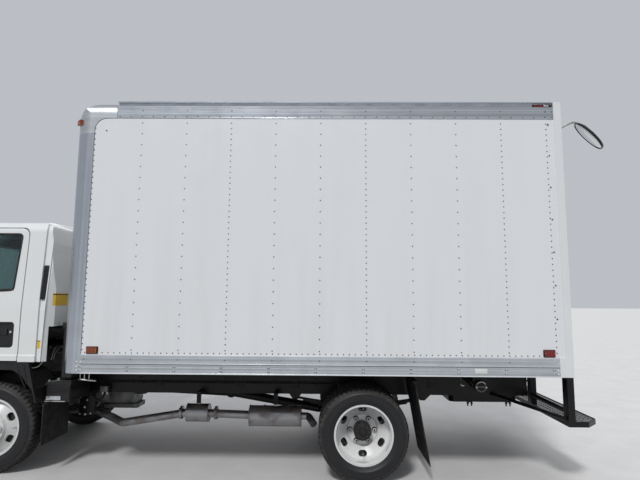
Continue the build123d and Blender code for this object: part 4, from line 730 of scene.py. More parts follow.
def rounded(corners, radius, steps=6):
    """An outline's points with every corner rounded."""
    points = []
    for n, here in enumerate(corners):
        here = Vector(here)
        before = (Vector(corners[n - 1]) - here).normalized()
        after = (Vector(corners[(n + 1) % len(corners)]) - here).normalized()
        half = before.angle(after) / 2
        middle = here + (before + after).normalized() * radius / math.sin(half)
        start, end = (here + way * radius / math.tan(half) - middle for way in (before, after))
        first = math.atan2(start.y, start.x)
        sweep = (math.atan2(end.y, end.x) - first + math.pi) % (2 * math.pi) - math.pi
        for k in range(steps + 1):
            angle = first + sweep * k / steps
            points.append((middle.x + radius * math.cos(angle), middle.y + radius * math.sin(angle)))
    return points


def draw_between(first, second):
    """Draws two lines, in millimetres, and fills the strip between them."""
    draw_outline([at(*p) for p in first], closed=False)
    bpy.ops.mesh.select_all(action="DESELECT")
    bpy.ops.mesh.primitive_plane_add(size=0.01, location=(0, 0, 0))
    bpy.ops.mesh.merge(type="CENTER")
    places = [at(*p) for p in second]
    bpy.ops.transform.translate(value=places[0])
    for before, after in zip(places, places[1:]):
        bpy.ops.mesh.extrude_region_move(TRANSFORM_OT_translate={"value": after - before})
    bpy.ops.mesh.select_all(action="SELECT")
    bpy.ops.mesh.remove_doubles(threshold=0.0001)
    bpy.ops.mesh.bridge_edge_loops()
    bpy.ops.mesh.select_all(action="SELECT")


def ribbon(name, finish, first, second, thickness):
    """A curved sheet between two open lines, with its thickness in millimetres."""
    draw_between(first, second)
    close_mesh()
    return smooth(modify(settle(name, finish), "SOLIDIFY", thickness=thickness / 1000, offset=0.0))


def band(name, finish, outer, inner, depth, round_by=0.0):
    """A flat ring between two outlines with as many points each, pushed out by depth in millimetres."""
    draw_between(outer + outer[:1], inner + inner[:1])
    bpy.ops.mesh.extrude_region_move(TRANSFORM_OT_translate={"value": Vector(depth) / 1000})
    close_mesh()
    piece = settle(name, finish)
    return round_edges(piece, round_by, 1) if round_by else smooth(piece)


def seen_from_side(points, y):
    """Points in X and height over the frame's top, at one place across the truck."""
    return [(x, y, z + CAB_Z) for x, z in points]


def seen_from_front(points, x):
    """Points across and in height over the frame's top, at one place along the truck."""
    return [(x, y, z + CAB_Z) for y, z in points]


def bolt(start, end, radius=9, finish="zinc", round_by=1.0):
    """A six-sided bolt head or nut between two places."""
    return bar("bolt", finish, start, end, radius, 6, round_by)


def surface(node, start, towards):
    """Where a line from start first meets a CAD node, in millimetres from the front axle."""
    hit, place, _, _ = NODES[node].ray_cast(at(*start), Vector(towards))
    if not hit:
        raise ValueError(f"no surface of {node} beyond {start}")
    return [1000 * a for a in (place.x - AXLE_X, place.y, place.z)]


def ride(piece, body, instead_of=()):
    """Hands a finished piece to a body and the CAD nodes it stands for."""
    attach(piece, body)
    if instead_of:
        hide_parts(*instead_of)
    return piece


def ride_each_side(left, body):
    """Hands a left-hand piece and its right-hand twin to the bodies of their own sides."""
    right = other_side(left, left.name.replace("left", "right"))
    ride(left, body)
    ride(right, body.replace("left", "right"))


# Box: sheets, rivets, bolts, seams and lamps

RIVET_STEP = 50.8
WALL_ENDS = (921.0, 5006.0)
SEAM_POSTS = (3, 6, 9)


def rivet_head(name, place, radius=7.0, height=3.2, finish="rivet"):
    """A low round head on the left wall, its hidden half cut away."""
    bpy.ops.object.select_all(action="DESELECT")
    bpy.ops.mesh.primitive_uv_sphere_add(segments=10, ring_count=6, radius=radius / 1000,
                                         location=at(*place), rotation=(math.pi / 2, 0, 0),
                                         scale=(1, 1, height / radius))
    bpy.ops.object.transform_apply(location=True, rotation=True, scale=True)
    bpy.ops.object.mode_set(mode="EDIT")
    bpy.ops.mesh.select_all(action="SELECT")
    bpy.ops.mesh.bisect(plane_co=at(place[0], place[1] + 0.5, place[2]), plane_no=(0, 1, 0),
                        clear_outer=True)
    bpy.ops.object.mode_set(mode="OBJECT")
    return smooth(settle(name, finish), 60)


def rivet_line(place, count, step, radius):
    """A row of rivets on the left wall."""
    return row(rivet_head("rivets", place, radius), count, step)


def wall_rivets():
    """Rows of rivets on the posts and round the edges of the wall, denser on the seams of the sheets."""
    low, high = 1132, 3190
    count = int((high - low) / RIVET_STEP) + 1
    y = -SKIN_Y - 1.1
    lines = []
    for x in [*WALL_ENDS, *POSTS[1:10]]:
        if x in WALL_ENDS or POSTS.index(x) in SEAM_POSTS:
            lines.append(rivet_line((x, y, low), count, (0, 0, RIVET_STEP), 6.2))
        else:
            lines.append(rivet_line((x, y, low), count // 2 + 1, (0, 0, 2 * RIVET_STEP), 6.2))
    lines.append(rivet_line((946, y, 1107), 80, (RIVET_STEP, 0, 0), 6.2))
    lines.append(rivet_line((1140, -SIDE_Y, TOP_RAIL_Z + 14), 38, (2 * RIVET_STEP, 0, 0), 6.5))
    lines.append(rivet_line((POSTS[1], -SIDE_Y, TOP_RAIL_Z + 70), 10, (POST_PITCH, 0, 0), 6.5))
    lines.append(rivet_line((POSTS[0], -SIDE_Y, 1052), 11, (POST_PITCH, 0, 0), 6.5))
    lines.append(rivet_line((1022, -SIDE_Y, 3092), 1, (0, 0, 1), 6.5))
    return both(joined("wall_rivets", *lines))


def cap_corner(y):
    """The round corner of the front cap, where it ends on the wall."""
    turns = [math.radians(15 * n) for n in range(7)]
    return [(CAP_X + CAP_R - CAP_R * math.sin(a), y, CAP_Z - CAP_R + CAP_R * math.cos(a)) for a in turns]


def wall_sheets():
    """Thin sheets over the walls, lapped on the posts where their seams show."""
    edges = [CAP_X - 6, *(POSTS[n] + 16 for n in SEAM_POSTS), RAIL_END_X + 3]
    sheets = []
    for n, (start, end) in enumerate(zip(edges, edges[1:])):
        back = start - (32 if n else 0)
        front = 1.2 - 0.3 * (n % 2)
        low, high = RAIL_TOP_Z, 3208.5
        outline = [(back, -SKIN_Y, low), (end, -SKIN_Y, low), (end, -SKIN_Y, high)]
        outline += [(back, -SKIN_Y, high)] if n else cap_corner(-SKIN_Y)
        sheets.append(plate("sheet", "box_sheet", outline, (0, -front, 0)))
    return both(joined("wall_sheets", *sheets))


def rail_bolts():
    """Pairs of round-headed bolts in the lower band of the bottom rails, near white as a painted highlight,
    each over a dark disc of painted shadow, and the bolts at the rails' ends.
    """
    start = (POSTS[0] - 30, -SIDE_Y, 955)
    # A dark disc set a little low behind each bolt head: painted shadow.
    painted_shadow_disc = bar("painted_shadow_disc", "sealant", start, (start[0], -SIDE_Y - 1.2, start[2] - 2), 13, 20)
    bolts = joined("rail_bolts", rivet_head("head", start, 9.5, 7, "bright_bolt"), painted_shadow_disc)
    bolts = row(copied(bolts, [(0, 0, 32)]), len(POSTS), (POST_PITCH, 0, 0))
    ends = rivet_head("end_bolts", (884, -SIDE_Y, 957), 8.5, 6, "bright_bolt")
    front = [(x, 0, z) for x in (0, 34) for z in (0, 32, 72)]
    ends = copied(ends, front[1:] + [(4126, 0, z) for z in (0, 32, 88)])
    top = rivet_head("top_bolts", (5000, -SIDE_Y, 3228), 8, 5, "rivet")
    top = copied(top, [(62, 0, 0), (0, 0, 50), (62, 0, 50), (24, 0, -72)])
    posts = rivet_head("post_bolts", (5024, -SKIN_Y - 1, 1420), 8.5, 4, "rivet")
    posts = row(posts, 7, (0, 0, 290))
    return both(joined("rail_bolts", bolts, ends, top, posts))


def strip(finish, x, z, proud, round_by=0.0):
    """A strip on the left rails that stands proud of them."""
    return slab("strip", finish, x, (-SIDE_Y - proud, -SIDE_Y + 1), z, round_by)


def rail_trim():
    """Lip and ribs of each bottom rail in paler aluminium as painted highlights, with a dark strip of painted
    shade in the groove between them, and the top rail's lower rib.
    """
    length = (CAP_X, RAIL_END_X)
    # The pale strips are painted highlights; the dark strip in the groove is painted shade.
    strips = [strip("rail_painted_highlight", length, (930, 941), 2, 0.8),
              strip("rail_painted_highlight", length, (1002, 1006.5), 1.8, 0.7),
              strip("rail_painted_highlight", length, (1015, 1019.5), 1.8, 0.7),
              strip("sealant", length, (1006.5, 1015), 0.4),
              strip("rail_painted_highlight", length, (1086, 1093.5), 1.4, 0.6),
              strip("rail_metal", (CAP_END_X, 5076), (TOP_RAIL_Z + 0.5, TOP_RAIL_Z + 5), 1.4, 0.6)]
    return both(joined("rail_trim", *strips))


def sealant():
    """Grey sealant squeezed out along the cap's round corner and its seams."""
    y = -SKIN_Y - 1.5
    path = [(CAP_END_X, y, CAP_Z), *cap_corner(y), (CAP_X, y, 2500), (CAP_X, y, RAIL_TOP_Z)]
    seams = [tube("seam", "sealant", path, 2.2),
             strip("sealant", (CAP_END_X - 2.5, CAP_END_X + 0.5), (TOP_RAIL_Z, 3320), 0.8),
             strip("sealant", (888, CAP_X), (3064.5, 3067), 0.8)]
    return both(joined("cap_sealant", *seams))


def lamp_frames():
    """Dark rims with two screws round the side lamps."""
    pieces = []
    for x, z in ((966, 1105), (4894, 1106)):
        rim = slab("rim", "plastic", (x - 6, x + 96), (-SKIN_Y - 13, -SKIN_Y), (z - 6, z + 56), 5, 3)
        screws = [rivet_head("screw", (x + dx, -SKIN_Y - 22, z + 25), 3.2, 1.6, "zinc") for dx in (8, 82)]
        pieces += [rim, *screws]
    pieces.append(slab("rim", "plastic", (4902, 5068), (-SIDE_Y + 21, -SIDE_Y + 29), (3324, 3354), 3))
    pieces.append(slab("fitting", "zinc", (5000, 5046), (-SIDE_Y + 12, -SIDE_Y + 24), (3330, 3350), 5, 3))
    pieces.append(bar("socket", "rubber", (5044, -SIDE_Y + 19, 3340), (5072, -SIDE_Y + 19, 3340), 8, 16, 2))
    return both(joined("lamp_frames", *pieces))


ride(wall_sheets(), "chassis")
ride(wall_rivets(), "chassis")
ride(rail_bolts(), "chassis")
ride(rail_trim(), "chassis")
ride(sealant(), "chassis")
ride(lamp_frames(), "chassis")


# Wheels: tyres with treads, nuts, caps and drums

TREAD_PITCHES = 56
WHEEL_SIDES = {"left": -1, "right": 1}


def tyre_shape():
    """One tyre round the front axle's middle: ribbed sidewalls and a tread of separate slanted blocks."""
    flank = [(81, 252), (81, 262), (92, 264), (97.5, 269), (98.5, 276), (104, 286), (109.5, 298),
             (111.6, 301), (112, 306), (111.2, 309), (112.9, 318), (112.6, 331), (110.3, 343),
             (111.2, 345), (110.8, 350), (108.6, 352), (105.4, 362), (101.5, 371), (95, 383), (78, 387)]
    profile = flank + [(-a, r) for a, r in reversed(flank)] + flank[:1]
    carcass = spun("carcass", "tyre", profile, (0, 0, AXLE_Z), steps=96)
    blocks = []
    for inner, outer, lean in ((-14, 14, 0), (22, 46, 7), (-46, -22, -7)):
        middle = (inner + outer) / 2
        corners = [(x + (y - middle) * 0.3 + lean, y, AXLE_Z + 385) for x, y in
                   ((-19, inner), (19, inner), (19, outer), (-19, outer))]
        blocks.append(plate("block", "tyre", corners, (0, 0, 14.2)))
    shoulder = [(-17, a, AXLE_Z + r) for a, r in
                ((54, 385), (54, 399.2), (75, 398), (87, 393.5), (97, 384), (104.5, 369), (98, 368))]
    shoulder = plate("block", "tyre", shoulder, (35, 0, 0), 1.6, 1)
    blocks += [shoulder, other_side(shoulder, "block")]
    tread = ringed(joined("tread", *blocks), TREAD_PITCHES, (0, 0, AXLE_Z))
    return joined("tyre", carcass, tread)


def moved_copy(piece, name, move):
    """A copy of a piece under a new name, moved by some millimetres."""
    twin = duplicate(piece)
    twin.location = Vector(move) / 1000
    twin.name = name
    twin.data.name = name
    return settled(twin)


def tyres():
    """The front tyres, and the two tyres of each rear twin wheel as one piece."""
    pattern = tyre_shape()
    for side, sign in WHEEL_SIDES.items():
        front = moved_copy(pattern, f"front_{side}_tyre_tread", (0, sign * FRONT_Y, 0))
        ride(front, f"front_{side}_wheel", [f"front_{side}_tyre"])
        twins = [moved_copy(pattern, "twin", (REAR_X, sign * (REAR_Y + gap), 0)) for gap in (-127.5, 127.5)]
        rear = joined(f"rear_{side}_tyre_treads", *twins)
        ride(rear, f"rear_{side}_wheels", [f"rear_{side}_tyres"])
    bpy.data.objects.remove(pattern)


def wheel_nuts(x, y, finish="zinc"):
    """Six flanged nuts with stud ends, standing outwards from the left disc at y."""
    z = AXLE_Z + 111.125
    nut = bar("nut", finish, (x, y, z), (x, y - 21, z), 19.5, 6, 1.8)
    flange = bar("flange", finish, (x, y + 0.5, z), (x, y - 4, z), 24, 20, 1.2)
    stud = bar("stud", finish, (x, y - 20, z), (x, y - 30, z), 8.5, 12, 1.5)
    return ringed(joined("wheel_nuts", nut, flange, stud), 6, (x, 0, AXLE_Z), first=30)


def brake_drum(place, end, rib, back, bore):
    """A brake drum with a rib round it, open at its inner end and closed by a disc at its back."""
    low, high = rib
    disc, edge = back
    profile = [(end, 188), (end, 208.5), (high, 208.5), (high - 2, 213), (low + 2, 213), (low, 208.5),
               (edge, 208.5), (disc, 204), (disc, bore), (disc + 2, bore), (disc + 2, 188), (end, 188)]
    return spun("drum", "drum_iron", profile, place, steps=56)


def front_wheel_fittings():
    """Cap, nuts, valve and finned brake drum of the left front wheel."""
    y = -FRONT_Y - 127.5
    cap = spun("cap", "hub_black", [(2, 0), (2, 90), (-4, 90), (-6, 83), (-44, 81.5), (-51, 78), (-54, 70),
                                    (-54, 44), (-51, 40), (-51, 0)], (0, y, AXLE_Z), steps=40)
    stud = bolt((0, y - 53, AXLE_Z + 57), (0, y - 57, AXLE_Z + 57), 5, round_by=0.8)
    studs = ringed(stud, 6, (0, 0, AXLE_Z))
    drum = brake_drum((0, -FRONT_Y, AXLE_Z), 53, (27, 40), (-41, -36), 101)
    valve = tube("valve", "zinc", [(0, y + 84, AXLE_Z + 226), (0, y + 62, AXLE_Z + 216),
                                   (0, y + 30, AXLE_Z + 205)], 4)
    valve = turned(valve, (0, 0, AXLE_Z), 90, "Y")
    return joined("front_left_wheel_fittings", wheel_nuts(0, y), cap, studs, drum, valve)


def rear_wheel_fittings():
    """Axle shaft flange with its ring of bolts, nuts, drum and two valves of the left twin wheels."""
    y = -REAR_Y
    disc_y = y - 11
    profile = [(2, 0), (2, 84), (-4, 84), (-6, 81.5), (-90, 80), (-94, 76.5), (-95, 76.5), (-96, 72),
               (-104, 70), (-106, 66), (-106, 34), (-112, 30), (-118, 26), (-119, 20), (-119, 0)]
    hub = spun("hub", "hub_black", profile, (REAR_X, y, AXLE_Z), steps=48)
    head = bolt((REAR_X, y - 104, AXLE_Z + 55), (REAR_X, y - 113, AXLE_Z + 55), 8, "drum_iron")
    bolts = ringed(head, 8, (REAR_X, 0, AXLE_Z))
    drum = brake_drum((REAR_X, y, AXLE_Z), 206, (174, 190), (99, 103), 131)
    outer = tube("valve", "zinc", [(REAR_X, y - 92, AXLE_Z + 228), (REAR_X, y - 120, AXLE_Z + 222),
                                   (REAR_X, y - 176, AXLE_Z + 214)], 4)
    inner = tube("valve", "zinc", [(REAR_X, y + 60, AXLE_Z + 200), (REAR_X, y - 40, AXLE_Z + 184),
                                   (REAR_X, y - 150, AXLE_Z + 180)], 4)
    inner = turned(inner, (REAR_X, 0, AXLE_Z), 180, "Y")
    nuts = wheel_nuts(REAR_X, disc_y, "drum_iron")
    return joined("rear_left_wheel_fittings", nuts, hub, bolts, drum, outer, inner)


tyres()
ride_each_side(front_wheel_fittings(), "front_left_wheel")
ride_each_side(rear_wheel_fittings(), "rear_left_wheels")


# Cab outside: gaskets, handles, vents, labels, back wall and mirrors. Heights count from CAB_Z.

DOOR_WINDOW = [(-795, 690), (-330, 797), (158, 830), (188, 1370), (-675, 1370)]
HANDLE_POCKET = [(-60, 318), (190, 318), (190, 548), (-60, 548)]


def side_y(z, proud=0.0):
    """How far out the left side of the cab stands at a height: upright, then leaning in above the belt."""
    return -min(1020, 1029 - 63 * (z - 525) / 954) - proud


def on_side(points, proud=0.0):
    """Points in X and height, laid on the leaning left side."""
    return [(x, side_y(z, proud), z + CAB_Z) for x, z in points]


def door_gasket():
    """Black rubber round the door's glass, with a wider strip along its lower edge."""
    outer, inner = rounded(DOOR_WINDOW, 42), rounded(inset(DOOR_WINDOW, 17), 34)
    lip = band("lip", "rubber", on_side(outer, 2.5), on_side(inner, 2.5), (0, 12, 0))
    edge = inset(DOOR_WINDOW, 5)[:3]
    strip = plate("strip", "rubber", on_side(edge + [(x, z + 20) for x, z in reversed(edge)], 4),
                  (0, 9, 0), 1.5, 1)
    return joined("left_door_gasket", lip, strip)


def door_handle():
    """Black handle in its pocket, with a paddle, a lock and a dark rim."""
    y = -1006
    flat = seen_from_side(rounded(HANDLE_POCKET, 31), y - 0.4)
    floor = plate("floor", "gloss_plastic", flat, (0, -2, 0))
    outer = seen_from_side(rounded(inset(HANDLE_POCKET, -2), 33), y)
    inner = seen_from_side(rounded(inset(HANDLE_POCKET, 12), 22), y)
    rim = band("rim", "gloss_plastic", outer, inner, (0, -15.5, 0), 1.5)
    paddle = slab("paddle", "gloss_plastic", (-25, 128), (y - 13, y - 4), (CAB_Z + 428, CAB_Z + 486), 6, 3)
    push_faces(paddle, lambda c, n: n.y < -0.99, 9, -3)
    lock = bar("lock", "zinc", (156, y - 1, CAB_Z + 458), (156, y - 8, CAB_Z + 458), 11, 20, 1.5)
    return joined("left_door_handle", floor, rim, paddle, lock)


def corner_vents():
    """Black louvred vents in the recess behind the side panels."""
    low, high = 752, 1068
    corners = [(404, low), (452, low), (460, high), (410, high)]
    face = [(x, side_y(z, -17), z + CAB_Z) for x, z in rounded(corners, 8, 3)]
    body = plate("corner_vents", "gloss_plastic", face, (0, -13, 0), 2, 2)
    slat = slab("slat", "gloss_plastic", (409, 450), (side_y(low + 12, -5), side_y(low + 12, -2)),
                (CAB_Z + low + 12, CAB_Z + low + 19), 1, 1)
    slats = row(slat, 17, (0.5, 1.14, 17.2))
    return joined("corner_vents", body, slats)


def back_wall_labels():
    """Blank yellow labels: one bent round the left rear corner, one in the recess, with dark upper edges."""
    pieces = []
    for low, high, finish, proud in ((1502, 1617, "label_yellow", 0.9), (1600, 1609, "label_dark", 1.3)):
        around = [surface("cab_body", (900, y, 1560), (-1, 0, 0)) for y in (-962, -944, -900, -738)]
        outer = [(x + proud, y - proud / 2, low) for x, y, _ in around]
        inner = [(x - 1, y + 1, low) for x, y, _ in around]
        pieces.append(plate("label", finish, outer + inner[::-1], (0, 0, high - low)))
    edge, side, _ = surface("cab_body", (900, -900, 1606), (-1, 0, 0))
    pieces += [bar("stud", "rubber", (edge - 2, side, 1606), (edge + 4, side, 1606), 8, 16, 1.5)
               for side in (-938, -752)]
    recess = surface("cab_body", (418, -1300, 1150), (0, 1, 0))[1]
    pieces.append(slab("small", "label_yellow", (403, 431), (recess - 1, recess + 1), (1116, 1188)))
    pieces.append(slab("dark", "label_dark", (403, 431), (recess - 1.4, recess + 1), (1179, 1186)))
    return joined("blank_labels", *pieces)


def back_wall_fittings():
    """The folded lower edge of the back wall, its bolts and four pressed stiffening ribs."""
    wall = surface("cab_body", (900, -850, 1400), (-1, 0, 0))[0]
    fold = slab("cab_back_wall_trim", "cab_paint", (wall - 4, wall + 9), (-925, 925), (1314, 1320), 2)
    bolts = row(bolt((wall - 2, -880, 1345), (wall + 7, -880, 1345)), 7, (0, 293.3, 0))
    ribs = [slab("rib", "cab_paint", (wall - 3, wall + 5), (y - 17, y + 17), (1380, 1632), 4.9, 3)
            for y in (-700, -560, 560, 700)]
    return joined("cab_back_wall_trim", fold, bolts, *ribs)


def mirror_glasses():
    """Flat silvered glasses facing back from both mirror heads, each in a dark rim."""
    pieces = []
    for low, high, near, far in ((775, 1135, 1142, 1318), (622, 728, 1168, 1320)):
        face = surface("side_mirrors", (-700, -1240, CAB_Z + (low + high) / 2), (-1, 0, 0))[0]
        corners = [(-far, low), (-near, low), (-near, high), (-far, high)]
        glass = seen_from_front(rounded(inset(corners, 8), 26), face - 0.5)
        pieces.append(plate("glass", "mirror", glass, (2.5, 0, 0)))
        outer = seen_from_front(rounded(inset(corners, 3), 31), face - 1)
        inner = seen_from_front(rounded(inset(corners, 9), 25), face - 1)
        pieces.append(band("rim", "plastic", outer, inner, (5, 0, 0)))
    return joined("mirror_glasses", *pieces)


ride_each_side(door_gasket(), "left_door")
ride_each_side(door_handle(), "left_door")
ride(both(corner_vents()), "cab")
ride(back_wall_labels(), "cab")
ride(back_wall_fittings(), "cab")
ride(both(mirror_glasses()), "cab")


# Chassis fittings: bolts, clamps, shock absorbers, exhaust seams, tank, battery box, pipes and a blank label

CROSS_X = (-980, -560, 1120, 1970, 2880, 3800, 4997)
TANK_X = 4300
STRAP_X = (TANK_X + 200, TANK_X + 590)
TANK_LOW = 545
FILLER = (4408, -985, 818)
# Exhaust cans: start, end, place across, height, radius
MUFFLER = (2297, 2794, -600, 452, 95)
CATALYST = (1681, 1891, -560, 466, 84)


def frame_bolts():
    """Two by two bolt heads where each crossmember meets the rail, and a row along its upper edge."""
    x = CROSS_X[0] + 30
    head = bolt((x, -FRAME_Y + 1, 715), (x, -FRAME_Y - 8, 715), 9.5, "drum_iron")
    group = copied(head, [(0, 0, 60), (26, 0, 60), (26, 0, 0)])
    bolts = copied(group, [(x - CROSS_X[0], 0, 0) for x in CROSS_X[1:]])
    extra = row(bolt((1420, -FRAME_Y + 1, 782), (1420, -FRAME_Y - 7, 782), 7, "drum_iron"), 9, (160, 0, 0))
    return both(joined("frame_bolts", bolts, extra))


def body_clamps():
    """Plates that tie the box's long sills to the rails, with two bolts above and two below."""
    tie = slab("body_clamps", "chassis", (1300, 1380), (-FRAME_Y - 7, -FRAME_Y + 1), (690, 912), 3)
    bolts = copied(bolt((1322, -FRAME_Y - 6, 890), (1322, -FRAME_Y - 16, 890), 9, "drum_iron"),
                   [(36, 0, 0), (0, 0, -160), (36, 0, -160)])
    clamps = copied(joined("body_clamps", tie, bolts), [(820, 0, 0), (1380, 0, 0), (2760, 0, 0)])
    return both(clamps)


def spring_clamps():
    """U-bolts round both axles and their springs, with the plates and nuts below."""
    pieces = []
    for axle, y, low, top, reach in ((0, -380, 250, 462, 48), (REAR_X, -385, 328, 570, 46)):
        plate_ends = (y - 58, y + 58)
        pieces.append(slab("plate", "spring", (axle - 72, axle + 72), plate_ends, (low, low + 13), 2))
        for x in (axle - 44, axle + 44):
            path = [(x, y - reach, low - 22), (x, y - reach, top - 30), (x, y - reach, top + 6),
                    (x, y, top + 9), (x, y + reach, top + 6), (x, y + reach, top - 30),
                    (x, y + reach, low - 22)]
            pieces.append(tube("bolt", "spring", path, 8))
            for side in (-reach, reach):
                pieces.append(bolt((x, y + side, low), (x, y + side, low - 14), 13, round_by=1.5))
    return both(joined("spring_clamps", *pieces))


def shock_absorber(name, foot, head):
    """A telescopic damper between its two eyes."""
    low, high = Vector(foot), Vector(head)
    along = (high - low).normalized()
    body = bar(name, "spring", low + along * 28, low.lerp(high, 0.56), 27, 24, 3)
    cover = bar("cover", "spring", low.lerp(high, 0.46), high - along * 34, 32, 24, 3)
    rod = bar("rod", "zinc", low.lerp(high, 0.5), high - along * 10, 9, 12)
    eyes = [bar("eye", "spring", p + Vector((0, -24, 0)), p + Vector((0, 24, 0)), 24, 20, 3)
            for p in (low, high)]
    pins = [bar("pin", "zinc", p + Vector((0, -38, 0)), p + Vector((0, 38, 0)), 9, 6, 1)
            for p in (low, high)]
    return joined(name, body, cover, rod, *eyes, *pins)


def shock_absorbers():
    """Dampers on brackets: behind the front axle inside the rails, ahead of the rear axle outside them."""
    front = shock_absorber("front", (112, -318, 352), (150, -330, 655))
    rear = shock_absorber("rear", (3250, -500, 360), (3178, -472, 700))
    brackets = [slab("bracket", "chassis", (30, 130), (-336, -288), (324, 345), 3),
                slab("bracket", "chassis", (120, 180), (-420, -295), (640, 672), 3),
                slab("bracket", "chassis", (3225, 3340), (-522, -478), (330, 362), 4),
                slab("bracket", "chassis", (3150, 3206), (-455, -424), (665, 738), 4)]
    return both(joined("shock_absorbers", front, rear, *brackets))


def exhaust_fittings():
    """Rolled seams, end caps, band clamps and pipe flanges of the exhaust."""
    start, end, y, z, radius = MUFFLER
    pieces = []
    seam = [(0, radius - 3), (0, radius + 3), (2, radius + 5), (8, radius + 5), (10, radius + 3),
            (10, radius - 3)]
    pieces += [spun("seam", "exhaust", seam, (x, y, z), "X") for x in (start - 2, end - 8)]
    strap = [(0, radius - 1), (0, radius + 2.2), (26, radius + 2.2), (26, radius - 1)]
    for x in (start + 130, end - 130):
        pieces.append(spun("band", "exhaust", strap, (x, y, z), "X"))
        pieces.append(bar("bolt", "iron", (x + 13, y - 28, z + radius + 1),
                          (x + 13, y + 22, z + radius + 1), 6, 6))
    pieces.append(slab("seam", "exhaust", (start + 8, end - 8), (y - 30, y - 24),
                       (z - radius + 1, z - radius + 7), 1.5))
    start, end, y, z, radius = CATALYST
    seam = [(0, radius - 3), (0, radius + 3), (8, radius + 3), (8, radius - 3)]
    pieces += [spun("seam", "exhaust", seam, (x, y, z), "X") for x in (start - 2, end - 6)]
    for x in (start - 70, end + 60):
        flange = spun("flange", "exhaust", [(0, 30), (0, 62), (9, 62), (9, 30)], (x, y, z), "X", 24)
        flanges = copied(flange, [(11, 0, 0)])
        through = bar("bolt", "iron", (x - 10, y, z + 51), (x + 30, y, z + 51), 6, 6)
        pieces += [flanges, ringed(through, 3, (x, y, z), "X", 40)]
    return joined("exhaust_fittings", *pieces)


def tank_fittings():
    """Strap bolts below the tank, its filler's ring, handle and bail, a hook beside it and a vent pipe."""
    pieces = []
    for x in STRAP_X:
        for dx in (-18, 21):
            for y in (-342, 342):
                pieces.append(bar("strap_bolt", "chassis", (x + dx, y, TANK_LOW + 20),
                                  (x + dx, y, TANK_LOW - 40), 7, 12))
                nut = bolt((x + dx, y, TANK_LOW - 4), (x + dx, y, TANK_LOW - 18), 13, "chassis", 1.5)
                pieces.append(nut)
    x, y, z = FILLER
    ring = [(-54, 36), (-54, 45), (-51, 49), (-30, 49), (-30, 43), (-46, 43), (-46, 36)]
    pieces.append(spun("ring", "iron", ring, (x, y, z), steps=40))
    pieces.append(slab("handle", "iron", (x - 34, x + 34), (y - 60, y - 49), (z - 9, z + 7), 3))
    arc = [(x + 43 * math.cos(math.radians(a)), y - 55, z + 43 * math.sin(math.radians(a)))
           for a in range(35, 146, 22)]
    pieces.append(tube("bail", "zinc", arc, 4.5))
    pieces += [bar("pin", "zinc", (x + dx, y - 48, z - 6), (x + dx, y - 58, z - 6), 8, 16, 2)
               for dx in (-43, 43)]
    hook = [(x - 158, y + 30, z + 60), (x - 170, y - 4, z + 22), (x - 160, y - 10, z - 6),
            (x - 140, y - 4, z + 4)]
    pieces.append(tube("hook", "zinc", hook, 6))
    pieces.append(slab("catch", "chassis", (x + 40, x + 62), (y - 50, y + 10), (z - 14, z + 12), 4))
    vent = [(x - 46, -330, 720), (x - 46, -345, 800), (x - 60, -520, 838), (x - 62, -905, 826),
            (x - 62, -960, 800)]
    pieces.append(tube("vent", "rubber", vent, 11))
    return joined("tank_fittings", *pieces)


def blank_rail_label():
    """The small white label on the left bottom rail, with nothing on it."""
    across = (-SIDE_Y - 1.2, -SIDE_Y + 1)
    return slab("blank_rail_label", "label_white", (4302, 4406), across, (958, 998), 0.5)


def battery_fittings():
    """Knobs and a pale metal sheet on the battery box's lid as a painted reflection, a ribbed band with
    painted highlights on its ribs and a rail on its side, and a cable.
    """
    pieces = []
    for x, y in ((470, -880), (556, -880), (470, -520), (556, -520)):
        base = surface("battery_box", (x, y, 900), (0, 0, -1))[2]
        knob = [(0, 0), (0, 6), (12, 6), (14, 15), (20, 15), (24, 10), (25, 0)]
        pieces.append(spun("knob", "zinc", knob, (x, y, base - 1), "Z", 20))
    # The pale ribs are painted highlights, and the aluminium sheet on the lid stands for sky reflected in it:
    # painted reflection.
    band = slab("band", "rail_metal", (460, 598), (-904, -896), (640, 678), 2)
    ribs = row(slab("rib", "rail_painted_highlight", (464, 470), (-906, -902), (643, 675), 1.5), 11, (12.2, 0, 0))
    edge = [(450, -893, 796), (578, -893, 818), (578, -893, 821), (450, -893, 799)]
    sheet = plate("sheet", "cap_metal", edge, (0, 400, 0), 1)
    pieces += [band, ribs, sheet]
    pieces.append(slab("rail", "zinc", (450, 640), (-906, -898), (627, 634), 1))
    cable = [(600, -520, 760), (600, -470, 775), (602, -440, 770), (604, -420, 740)]
    pieces.append(tube("cable", "rubber", cable, 10))
    return joined("battery_fittings", *pieces)


